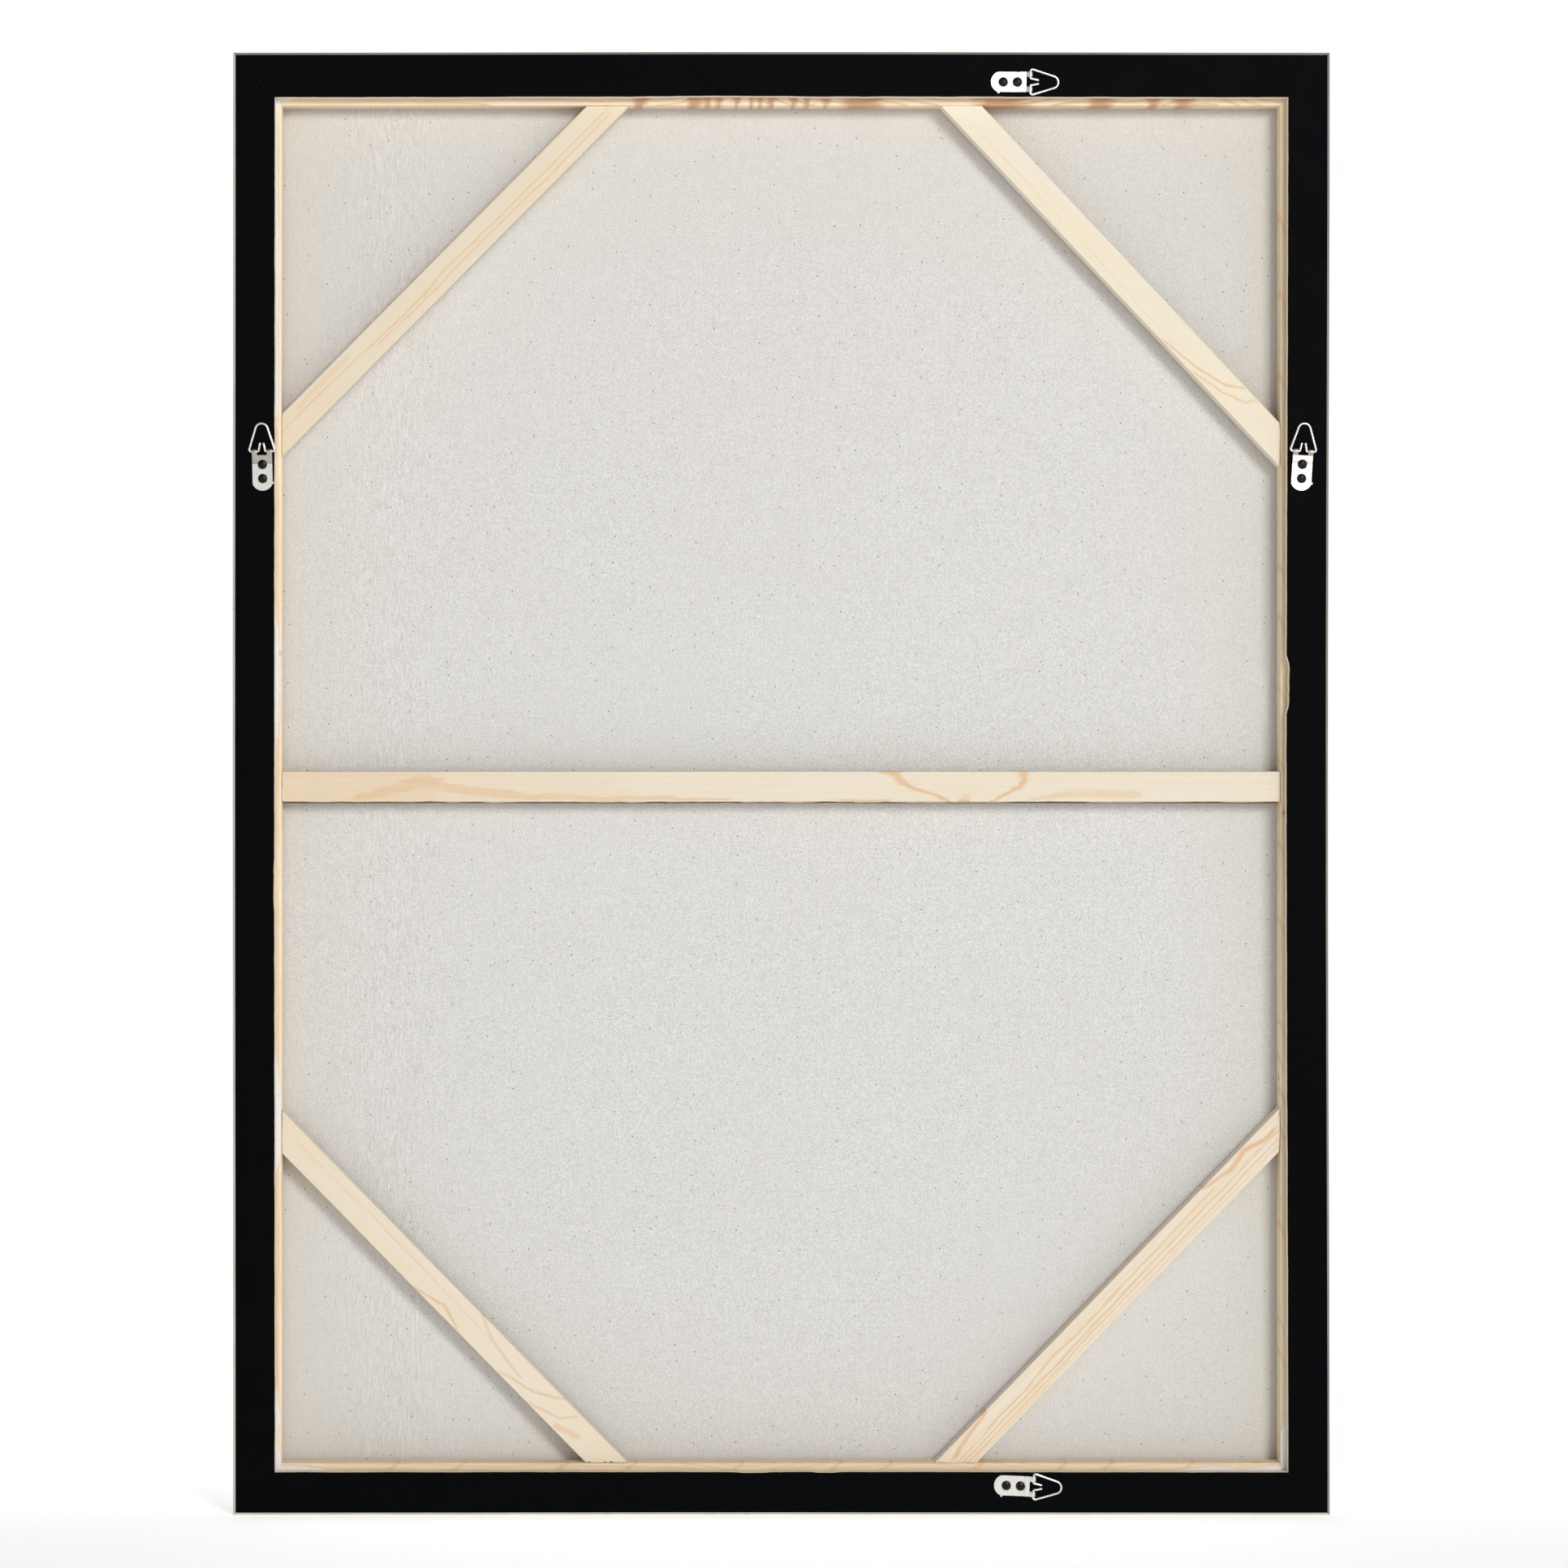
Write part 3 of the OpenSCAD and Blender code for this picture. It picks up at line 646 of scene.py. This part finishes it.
# Darker bands and grain lines on the strip that shows, in mm along the bar from its middle
top_bands = [(-282, 7.4), (-261, 5.5), (-224, 9.2), (-155, 18), (-58, 14.5), (-32.4, 3.1), (-19.2, 2.8),
             (-9.8, 3.0), (5.4, 3.6), (13.3, 2.6), (19.5, 2.0), (29.9, 2.8), (42.2, 3.4), (50, 2.5),
             (58.9, 6.4), (97, 5.5)]
bar_strokes = {
    TOP: [([(x - 2.0, 14, half), (x + 1.0, 19, half), (x + 0.4 * half, 25, half * 0.55)], 0.86)
          for x, half in top_bands],
    RIGHT: [([(x, 13, 0.9), (x + 9, 17, 1.0), (x + 26, 23, 0.8)], 0.55)
            for x in (-420, -396, -330, -262, -236, -215, -190, -118, -64,
                      -35, -8, 44, 92, 128, 205, 262, 318, 371)],
    BOTTOM: [([(x, 14, 1.0), (x + 12, 18, 1.3), (x + 20, 24, 0.8)], 0.6)
             for x in (-286, -240, -168, -120, -46, 22, 58, 122, 180, 212, 268)],
    LEFT: [([(-460, 19, 0.6), (-300, 18.2, 0.7), (-120, 19.4, 0.6),
             (60, 18.6, 0.7), (240, 19.6, 0.6), (450, 18.8, 0.6)], 0.4)],
}
bead = 4.5 * MM
bar_corners = [
    (bar_y, 0.0, 0.5 * MM, 0),
    (bar_y, bar_w, 1.2 * MM, 0),
    (bar_front_y - 2.8 * MM, bar_w, 0.8 * MM, 0),
    (bar_front_y - MM, bead + 0.6 * MM, 0.2 * MM, 0),
    (bar_front_y, bead - MM, 0.5 * MM, 0),
    (bar_front_y, 0.0, 0.8 * MM, 0),
]


def bar_shape(side):
    def shape(x, y, z):
        z = widened(side, z, BAR_EXTRA, 0.0, bar_w) + 0.10 * MM * wobble(x, side + 21, 90 * MM) * z / bar_w
        y += 0.08 * MM * wobble(x, side + 31, 120 * MM)
        return y, z

    return shape


for side, word in enumerate(SIDES):
    wood = pine(f"pine_bar_{word}", **bar_looks[side])
    bar = mitred_bar(f"bar_{word}", side, bars_w, bars_h, bar_low.z, bar_corners, 1.6 * MM, 2.2 * MM,
                     [wood], bar_shape(side),
                     lambda neighbour, z: widened(neighbour, z, BAR_EXTRA, 0.0, bar_w))
    mark(bar, bar_strokes[side], 3.1 + side)
    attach(bar, "picture")
    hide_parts(f"stretcher_bar_{word}")

# ---------- braces ----------


def brace_ends(node):
    """The two cut edges of a CAD brace, each as two (x, z) points, lowest X first."""
    points = sorted({(round(v.co.x, 5), round(v.co.z, 5)) for v in frame["nodes"][node].data.vertices})
    low_x, high_x = points[0][0], points[-1][0]
    low_z, high_z = min(p[1] for p in points), max(p[1] for p in points)
    edge_x = low_x if abs(low_x) > abs(high_x) else high_x
    on_side_bar = [p for p in points if abs(p[0] - edge_x) < 1e-4]
    if abs(low_x + high_x) < 1e-4:
        return [p for p in points if p[0] < 0], [p for p in points if p[0] > 0]
    edge_z = low_z if low_z < frame_h / 2 - 0.2 else high_z
    on_level_bar = [p for p in points if abs(p[1] - edge_z) < 1e-4]
    ends = sorted([on_side_bar, on_level_bar], key=lambda end: sum(p[0] for p in end))
    return ends[0], ends[1]


ARRIS = 0.45 * MM  # how round a brace's long edges are
TORN_LENGTH = 2.4 * MM  # how far the saw's tear-out reaches along a brace


def brace(name, node, material, tears, strokes, flare, seed):
    """A planed stick between its two cut ends. tears are the depths of the saw's tear-out at each end, and
    flare widens its lower side towards the canvas."""
    low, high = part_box(node)
    ends = [np.array(end) for end in brace_ends(node)]
    middles = [end.mean(0) for end in ends]
    for i, end in enumerate(ends):
        if abs(end[0][1] - end[1][1]) < 1e-4:
            inward = middles[1 - i] - middles[i]
            end += inward * BAR_EXTRA[TOP if inward[1] < 0 else BOTTOM] / abs(inward[1])
    middles = [end.mean(0) for end in ends]
    centre = (middles[0] + middles[1]) / 2
    along = (middles[1] - middles[0]) / np.linalg.norm(middles[1] - middles[0])
    across = np.array([-along[1], along[0]])
    cuts = [sorted(((p - centre) @ across, (p - centre) @ along) for p in end) for end in ends]
    half = (cuts[0][1][0] - cuts[0][0][0]) / 2
    y0, y1 = low.y, high.y
    edges = ((y0, -half), (y0, half), (y1, half), (y1, -half - flare))
    corners = [(y, z, ARRIS, 0) for y, z in edges]
    profile, _ = rounded_profile(corners, 0.55 * MM)
    insets = [0.0, 0.5, 1.2, 2.4, 4.5, 8.0]

    def cut_at(which, z):
        (za, xa), (zb, xb) = cuts[which]
        return xa + (xb - xa) * (z - za) / (zb - za)

    def tear(which, y, z):
        near_back = 1 - smooth_step((y - y0) / (3.5 * MM))
        comb = abs(wobble(z, seed + 3 * which, 1.6 * MM)) + 0.6 * abs(wobble(z, seed + 11 + which, 0.7 * MM))
        broad = max(0.0, 0.4 + wobble(z, seed + 5 + which, 9 * MM))
        return tears[which] * (0.15 + near_back * min(1.4, comb * broad + 0.2 * comb))

    rings = []
    count = int(np.linalg.norm(middles[1] - middles[0]) / (1.9 * MM))
    spans = [(0, inset * MM) for inset in insets] + [(2, t) for t in np.linspace(0.005, 0.995, count)]
    spans += [(1, inset * MM) for inset in reversed(insets)]
    for which, amount in spans:
        ring = []
        for y, z in profile:
            xa, xb = cut_at(0, z), cut_at(1, z)
            if which == 2:
                x = xa + 8 * MM + (xb - xa - 16 * MM) * amount
                dip = 0.0
            else:
                torn = tear(which, y, z)
                first, sign = (xa, 1) if which == 0 else (xb, -1)
                fade = max(0.0, 1 - amount / TORN_LENGTH)
                x = first + sign * (amount + torn * fade)
                dip = 0.35 * torn * fade if y < y0 + 0.5 * MM else 0.0
            bend = 0.12 * MM * wobble(x, seed + 2, 70 * MM)
            ring.append((x, y + dip + 0.08 * MM * wobble(x, seed + 8, 110 * MM), z + bend))
        rings.append(ring)
    faces, _ = loft(rings)
    matrix = Matrix((
        (along[0], 0, across[0], centre[0]), (0, 1, 0, 0), (along[1], 0, across[1], centre[1]), (0, 0, 0, 1),
    ))
    made = make_object(name, [v for ring in rings for v in ring], faces, [material], None, matrix)
    mark(made, strokes, seed * 0.13)
    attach(made, "picture")
    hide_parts(node)
    return made


brace_looks = {
    "cross_brace": (dict(
        pith=(0.028, 0.060), drift=(0.0, 0.012), pitch=5.0 * MM, contrast=0.30, seed=21.0,
        light=(226, 218, 201), dark=(226, 200, 160), figure=(217, 180, 134),
    ), (0.5 * MM, 0.5 * MM), 1.6 * MM, [
        ([(69, 10, 1.2), (80, 9.6, 4.2), (83, 5, 2.6), (89.5, 0.2, 1.6), (102.5, -4.9, 1.3),
          (117, -10, 0.9)], 0.9),
        ([(168.5, 10.6, 4.0), (170, 4.4, 2.2), (166, -0.7, 1.7), (158.8, -4, 1.3), (147, -10, 0.8)], 0.9),
        ([(124.6, -10.1, 0.9), (130.6, -10.1, 0.9)], 1.4), ([(127, -10, 3.0), (130, -8, 3.2)], 0.45),
        ([(174, -9, 1.2), (190, -6.5, 2.2), (212, -4.5, 3.4), (250, -5, 2.0)], 0.40),
        ([(40, -9.7, 0.7), (76, -9.6, 0.6)], 0.8),
        ([(-296, -8, 3), (-274, -3, 5), (-256, 3, 6), (-240, 2.5, 5)], 0.66),
        ([(-254, 2, 3), (-225, -2, 4.2), (-200, -5, 3.2), (-150, -8, 2.2), (-60, -8.5, 1.3),
          (-36, -9, 0.8)], 0.58),
        ([(-345, 7, 5), (-300, 6, 6), (-262, 8, 3)], 0.34), ([(-352, 0, 22), (-250, 0, 18)], 0.34),
        # The last stroke, at strength 3.0 along the flared lower side, is painted shade under the cross brace
        ([(-250, 0, 18), (-120, 0, 12)], 0.12), ([(-360, -11.6, 0.8), (360, -11.6, 0.8)], 3.0),
    ]),
    "corner_brace_top_left": (dict(
        pith=(0.060, -0.060), pitch=6.0 * MM, contrast=0.22, warmth=0.04, seed=24.0,
        light=(222, 211, 190), dark=(224, 198, 160), figure=(214, 176, 130),
    ), (0.7 * MM, 0.5 * MM), 0.0, [
        ([(-160, 2, 0.5), (-80, 0.2, 0.6), (-34, -1.5, 0.6), (0, 0.6, 0.55), (42, -0.6, 0.6),
          (160, -1.4, 0.5)], 0.62),
        ([(-70, -3, 0.4), (-12, -4.7, 0.6), (30, -3.6, 0.5), (92, -5.2, 0.6), (160, -4.4, 0.5)], 0.62),
        ([(-24, -2.4, 0.3), (-9, -1.4, 0.3)], 1.3), ([(-140, 5, 2.5), (-90, 6.5, 2.0)], 0.3),
    ]),
    "corner_brace_top_right": (dict(
        pith=(0.070, 0.060), drift=(0.02, 0.0), pitch=6.0 * MM, contrast=0.2, seed=27.0,
        light=(228, 221, 203), dark=(232, 210, 174), figure=(222, 188, 144),
    ), (0.4 * MM, 0.7 * MM), 0.0, [
        ([(52, -9, 0.7), (84, -5, 0.9), (106, 1, 1.0), (116, 9, 0.9)], 0.9),
        ([(84, -9, 0.7), (108, -4, 0.9), (124, 3, 0.9), (128, 10, 0.8)], 0.8),
        ([(-150, -4, 0.5), (-40, -3, 0.6), (60, -6, 0.5)], 0.35),
    ]),
    "corner_brace_bottom_left": (dict(
        pith=(0.055, 0.060), drift=(0.03, 0.01), pitch=6.0 * MM, contrast=0.2, seed=29.0,
        light=(228, 219, 201), dark=(228, 204, 166), figure=(216, 180, 134),
    ), (0.6 * MM, 1.4 * MM), 0.0, [
        ([(64, -9, 0.7), (92, -1, 1.0), (104, 6, 0.9), (108, 10, 0.8)], 0.65),
        ([(-20, -10, 0.8), (4, -4, 1.2), (22, -9.6, 0.8)], 0.7),
        ([(28, 10, 0.8), (48, 2, 1.1), (78, -1, 0.8)], 0.55),
        ([(92, -10, 0.8), (116, -2, 1.0), (124, 8, 0.9)], 0.65), ([(118, -8, 2.2), (134, -2, 2.6)], 0.5),
        ([(-150, 3, 0.5), (-60, 4, 0.6), (50, 2.5, 0.5)], 0.35),
    ]),
    "corner_brace_bottom_right": (dict(
        pith=(0.050, 0.070), drift=(0.0, 0.004), pitch=6.5 * MM, contrast=0.25, warmth=0.05, seed=33.0,
        light=(228, 219, 202), dark=(220, 184, 136), figure=(214, 174, 124),
    ), (0.8 * MM, 1.1 * MM), 0.0, [
        ([(-160, -0.5, 0.8), (-90, 0.4, 0.8), (-62, 3.2, 1.0), (-30, 2.2, 0.9), (20, 3.0, 0.8),
          (100, 4.2, 0.7)], 0.6),
        ([(-160, -3.6, 0.7), (-70, -2.8, 0.8), (-20, -1.6, 0.8), (60, -1.0, 0.7), (160, 0.4, 0.6)], 0.6),
        ([(-160, -6.4, 0.6), (-60, -5.4, 0.7), (0, -4.2, 0.7), (80, -4.6, 0.6), (160, -3.6, 0.6)], 0.52),
        ([(-160, -8.8, 0.5), (0, -7.4, 0.5), (160, -7.0, 0.5)], 0.34),
        ([(-122, 9.5, 1.4), (-140, 6.4, 1.8), (-160, 3.4, 1.6)], 0.75),
        ([(96, 10, 1.2), (118, 5.5, 1.8), (134, 7, 1.6), (150, 2, 1.4), (160, 4, 1.2)], 0.8),
    ]),
}
for order, (node, (look, tears, flare, strokes)) in enumerate(brace_looks.items()):
    wood = pine(f"pine_{node}", **look)
    brace(node.replace("brace", "stick"), node, wood, tears, strokes, flare, 50 + 6 * order)

# ---------- canvas ----------

CLOTH = 0.7 * MM  # thickness of the cloth
GAP = 0.4 * MM  # from the bars to the middle of the cloth
CLOTH_CREASE = 50
CLOTH_GRID = 5 * MM
WIDEST_MARGIN = 21.8 * MM
# Width of the folded margin along each side, by distance from that side's first end: from the left on
# the level sides, from the top on the upright ones
margins = {
    LEFT: [(0, 21.8), (20, 21.6), (24, 20.0), (35, 19.2), (60, 19.1), (85, 19.5), (140, 19.9), (200, 19.9),
           (225, 20.4), (235, 20.5), (243, 19.0), (250, 16.5), (368, 17.0), (398, 20.5), (428, 20.7),
           (456, 19.9), (482, 17.2), (500, 15.5), (660, 15.8), (676, 17.6), (700, 20.0), (715, 21.7),
           (752, 21.7), (760, 20.0), (770, 17.0), (785, 15.5), (905, 16.5), (925, 19.3), (940, 21.0),
           (951, 19.1), (956, 18.6), (961, 20.4), (968, 21.8), (994, 21.8)],
    RIGHT: [(0, 15.5), (660, 15.5), (676, 17.6), (690, 18.7), (703, 19.8), (724, 17.6), (740, 15.8),
            (830, 16.5), (842, 18.1), (879, 19.0), (898, 18.3), (910, 18.2), (926, 19.2), (938, 19.0),
            (945, 20.2), (951, 21.8), (994, 21.8)],
    TOP: [(0, 21.8), (22, 21.6), (27, 21.2), (32, 19.8), (38, 17.4), (50, 15.6), (740, 15.5)],
    BOTTOM: [(0, 21.8), (26, 21.7), (37, 21.2), (45, 20.2), (55, 18.8), (63, 17.4), (80, 16.2),
             (98, 17.2), (106, 18.3), (126, 18.4), (132, 17.4), (150, 16.4), (184, 17.4), (190, 18.5),
             (210, 18.4), (216, 17.4), (260, 15.8), (600, 15.8), (634, 17.6), (655, 19.8), (673, 21.5),
             (683, 20.0), (692, 19.6), (703, 19.8), (710, 21.2), (714, 21.8), (740, 21.8)],
}


def margin_at(side, x):
    length = bars_w if side % 2 == 0 else bars_h
    along = length / 2 + (x if side in (BOTTOM, LEFT) else -x)
    ends = smooth_step(min(along, length - along) / (30 * MM))
    width = between(margins[side], along / MM) * MM
    return min(WIDEST_MARGIN, width + 0.16 * MM * wobble(x, 60 + side, 7 * MM) * ends)


def canvas_sheet():
    """One sheet: a front panel, sides that go round the bars, and margins folded onto their backs."""
    steps = {0: int(bars_w / CLOTH_GRID), 1: int(bars_h / CLOTH_GRID)}
    fractions = {k: [2 * i / n - 1 for i in range(n + 1)] for k, n in steps.items()}
    front, back = bar_front_y + GAP, bar_y - GAP
    bend = 1.1 * MM
    verts, faces = [], []

    def add_grid(grid):
        rows, cols = len(grid), len(grid[0])
        start = len(verts)
        verts.extend(p for row in grid for p in row)
        for i in range(rows - 1):
            for j in range(cols - 1):
                a = start + i * cols + j
                faces.append((a, a + 1, a + cols + 1, a + cols))

    inset = 2.5 * MM
    panel = []
    for tz in fractions[1]:
        row = []
        for tx in fractions[0]:
            x, z = tx * (bars_w / 2 - inset), tz * (bars_h / 2 - inset) + frame_h / 2
            free = smooth_step((1 - abs(tx)) * 9) * smooth_step((1 - abs(tz)) * 12)
            slack = 0.30 * MM * noise.noise(Vector((x * 5, 3.3, z * 4)))
            slack += 0.10 * MM * noise.noise(Vector((x * 22, 8.1, z * 18)))
            row.append(Vector((x, front + slack * free - 0.25 * MM * free, z)))
        panel.append(row)
    add_grid(panel)

    for side in range(4):
        length = bars_w if side % 2 == 0 else bars_h
        matrix = side_matrix(side, bars_w, bars_h, bar_low.z)
        path = [(inset, front)] + arc_points((bend - GAP, front - bend), bend, 90, 180, 5)
        path += [(-GAP, y) for y in np.linspace(front - bend, back + bend, 6)[1:-1]]
        path += arc_points((bend - GAP, back + bend), bend, 180, 270, 5)
        margin_from = path[-1][0]
        shares = [0.12, 0.3, 0.5, 0.68, 0.82, 0.92, 0.97, 1.0]
        grid = []
        for t in fractions[side % 2]:
            row = [matrix @ Vector((t * (length / 2 - d), y, d)) for d, y in path]
            wide = margin_at(side, t * (length / 2 - 20 * MM))
            for share in shares:
                d = margin_from + (wide - margin_from) * share
                x = t * (length / 2 - d)
                lift = 0.10 * MM * wobble(x, 70 + side, 26 * MM) * share ** 2
                row.append(matrix @ Vector((x, back - max(0.0, lift), d)))
            grid.append(row)
        add_grid(grid)
    return verts, faces


cloth_verts, cloth_faces = canvas_sheet()
cloths = [primer("white_primer"), raw_canvas("raw_cloth")]
canvas = make_object("canvas_sheet", cloth_verts, cloth_faces, cloths, crease=CLOTH_CREASE, weld=2e-6)


def thicken(obj, thickness):
    """Gives the sheet its thickness, with slot 0 on the outside, slot 1 on the inside and the cut edge."""
    bm = bmesh.new()
    bm.from_mesh(obj.data)
    bm.faces.ensure_lookup_table()
    centre = Vector((0, bar_front_y, frame_h / 2))
    inside = min(bm.faces, key=lambda f: (f.calc_center_median() - centre).length)
    if inside.normal.y < 0:
        bmesh.ops.reverse_faces(bm, faces=bm.faces)
    bm.normal_update()
    normals = {v: v.normal.copy() for v in bm.verts}
    outer = list(bm.verts)
    outer_faces = list(bm.faces)
    inner = {v: bm.verts.new(v.co - normals[v] * thickness / 2) for v in outer}
    rim = [e for e in bm.edges if len(e.link_faces) == 1]
    made = []
    for face in outer_faces:
        made.append(bm.faces.new([inner[v] for v in reversed(face.verts)]))
    for edge in rim:
        loop = edge.link_loops[0]
        a, b = loop.vert, loop.link_loop_next.vert
        made.append(bm.faces.new([b, a, inner[a], inner[b]]))
    for v in outer:
        v.co += normals[v] * thickness / 2
    for face in made:
        face.material_index = 1
        face.smooth = True
    soften(bm, CLOTH_CREASE)
    bm.to_mesh(obj.data)
    bm.free()


thicken(canvas, CLOTH)
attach(canvas, "picture")
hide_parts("canvas")

# ---------- hangers ----------

WIRE = 0.85 * MM
BEND, TIP, HALF_W, REACH = 1.6 * MM, 4.3 * MM, 8.7 * MM, 19.5 * MM
LEAN = math.radians(2)


def ring_path():
    """Centre line of the bent wire in the ring's plane: prong, pin, side, round tip and back again."""
    tip_v = REACH - TIP
    rise, run = tip_v - BEND, HALF_W - BEND
    slope = math.degrees(math.acos((TIP - BEND) / math.hypot(rise, run)) - math.atan2(rise, run))
    right = [(u * MM, v * MM) for u, v in ((1.25, 5.7), (1.45, 4.75), (1.85, 2.85), (2.15, 1.5))]
    right += arc_points((3.2 * MM, 1.05 * MM), 1.05 * MM, 185, 268, 8)
    right += [(4.2 * MM, 0.0), (5.4 * MM, 0.0)]
    right += arc_points((HALF_W - BEND, BEND), BEND, -90, slope, 12)
    half_tip = arc_points((0.0, tip_v), TIP, slope, 90, 16)
    (u0, v0), (u1, v1) = right[-1], half_tip[0]
    side = [(u0 + (u1 - u0) * t, v0 + (v1 - v0) * t) for t in (0.25, 0.5, 0.75)]
    right += side + half_tip
    left = [(-u, v) for u, v in reversed(right[:-1])]
    return right + left


path = [(u, 0.0, v) for u, v in ring_path()]
for joint in frame["joints"]:
    word = joint["child"].replace("ring_", "")
    axis = Vector(joint["axis"])
    turn = math.atan2(-axis.z, axis.x)
    matrix = (Matrix.Translation(Vector(joint["pos_m"])) @ Matrix.Rotation(turn, 4, "Y")
              @ Matrix.Rotation(-LEAN, 4, "X"))
    rings = tube(path, WIRE, (0, 1, 0))
    faces, _ = loft(rings)
    verts = [v for r in rings for v in r]
    ring = make_object(f"wire_ring_{word}", verts, faces, [steel], None, matrix, crease=60)
    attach(ring, joint["child"])
    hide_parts(f"d_ring_{word}")


def dress(node, material, crease=30, bevel=0.0):
    """Gives a CAD node that stays its material, and softens its sharp edges."""
    obj = frame["nodes"][node]
    obj.data.materials.clear()
    obj.data.materials.append(material)
    if bevel:
        weld = obj.modifiers.new("weld", "WELD")
        weld.merge_threshold = 1e-6
        round_off = obj.modifiers.new("soften", "BEVEL")
        round_off.width = bevel
        round_off.segments = 2
        round_off.limit_method = "ANGLE"
        round_off.angle_limit = math.radians(crease)
        round_off.harden_normals = False


# How strong the painted shade is on each strap's bent band next to the pin; the bottom strap lies with its
# smooth face up
BEND_SHADE = {"left": 0.6, "right": 0.55, "top": 0.05}
for joint in frame["joints"]:
    word = joint["child"].replace("ring_", "")
    plate = steel
    if word in BEND_SHADE:
        axis = Vector(joint["axis"])
        plate = bright_steel(f"zinc_plate_{word}",
                             bend=(tuple(joint["pos_m"]), (-axis.z, 0.0, axis.x), BEND_SHADE[word]))
    dress(f"hanger_strap_{word}", plate, 35, 0.12 * MM)
    dress(f"hanger_screws_{word}", screw_black)
for node in ("frame_corner_nails", "stretcher_corner_staples", "brace_nails", "canvas_staples"):
    dress(node, hidden)

# ---------- floor, light and camera ----------


FLOOR_GLOW = 0.80
NEAR_GLOW = 0.50
GLOW_FROM, GLOW_TO = -0.25, 0.35


def flat_stage(name, half, z):
    material = Look(name)
    cloud = material.noise(0.8, 2.0, 0.5)
    colour = material.mix(material.spread(cloud, 0.3, 0.7), rgb(247, 247, 247), rgb(243, 243, 243))
    depth = material.split(material.place)[1]
    glow = material.spread(depth, GLOW_FROM, GLOW_TO, NEAR_GLOW, FLOOR_GLOW, True)
    material.finish(Base_Color=colour, Roughness=0.9, Specular_IOR_Level=0.0,
                    Emission_Color=(1.0, 1.0, 1.0, 1.0), Emission_Strength=glow)
    mesh = bpy.data.meshes.new(name)
    corners = [(-half, -half, z), (half, -half, z), (half, half, z), (-half, half, z)]
    mesh.from_pydata(corners, [], [(0, 1, 2, 3)])
    mesh.materials.append(material.material)
    obj = add_object(name, mesh)


flat_stage("studio_floor", 60.0, 0.0)


def area_light(name, place, target, size, power, tint):
    light = bpy.data.lights.new(name, "AREA")
    light.shape = "SQUARE"
    light.size = size
    light.energy = power
    light.color = tint
    obj = add_object(name, light)
    obj.location = place
    obj.rotation_euler = (Vector(target) - Vector(place)).to_track_quat("-Z", "Y").to_euler()


middle = Vector((0, 0, frame_h / 2))
KEY_DISTANCE, KEY_SIZE, KEY_POWER = 7.0, 1.7, 242
key_direction = Vector((0.33, -0.90, 0.30)).normalized()
area_light("key", middle + key_direction * KEY_DISTANCE, middle, KEY_SIZE, KEY_POWER, (1.0, 0.997, 0.988))

world = bpy.data.worlds.new("studio")
bpy.context.scene.world = world
world.use_nodes = True
sky = world.node_tree
background = sky.nodes["Background"]
coords = sky.nodes.new("ShaderNodeTexCoord")
split = sky.nodes.new("ShaderNodeSeparateXYZ")
sky.links.new(coords.outputs["Generated"], split.inputs[0])
both = sky.nodes.new("ShaderNodeMath")
both.operation = "MULTIPLY"
# Brightness by height (axis 2) and from front to back (axis 1), as (from, to, value at from, value at to)
for slot, (axis, spans) in enumerate(((2, (0.17, 0.42, 1.04, 0.24)), (1, (-0.4, 0.5, 0.70, 1.0)))):
    fade = sky.nodes.new("ShaderNodeMapRange")
    fade.interpolation_type = "SMOOTHSTEP"
    sky.links.new(split.outputs[axis], fade.inputs[0])
    for index, value in enumerate(spans, start=1):
        fade.inputs[index].default_value = value
    sky.links.new(fade.outputs[0], both.inputs[slot])
sky.links.new(both.outputs[0], background.inputs["Strength"])
background.inputs["Color"].default_value = (1.0, 1.0, 1.0, 1.0)

FRAME_SPAN = 1.089  # width that the view takes in at the picture's back
AIM_X, AIM_DROP = 0.0017, 0.0001
SHIFT = (0.12, -0.04)
camera_data = bpy.data.cameras.new("camera")
camera_data.lens = 110.0
camera_data.sensor_width = 36.0
camera_data.shift_x, camera_data.shift_y = SHIFT
camera = add_object("camera", camera_data)
distance = FRAME_SPAN * camera_data.lens / camera_data.sensor_width
camera.location = (
    AIM_X - SHIFT[0] * FRAME_SPAN, back_y - distance, frame_h / 2 - AIM_DROP - SHIFT[1] * FRAME_SPAN,
)
camera.rotation_euler = (math.pi / 2, 0, 0)
camera_data.clip_start, camera_data.clip_end = 0.05, 200
bpy.context.scene.camera = camera
bpy.context.scene.view_settings.view_transform = "Standard"
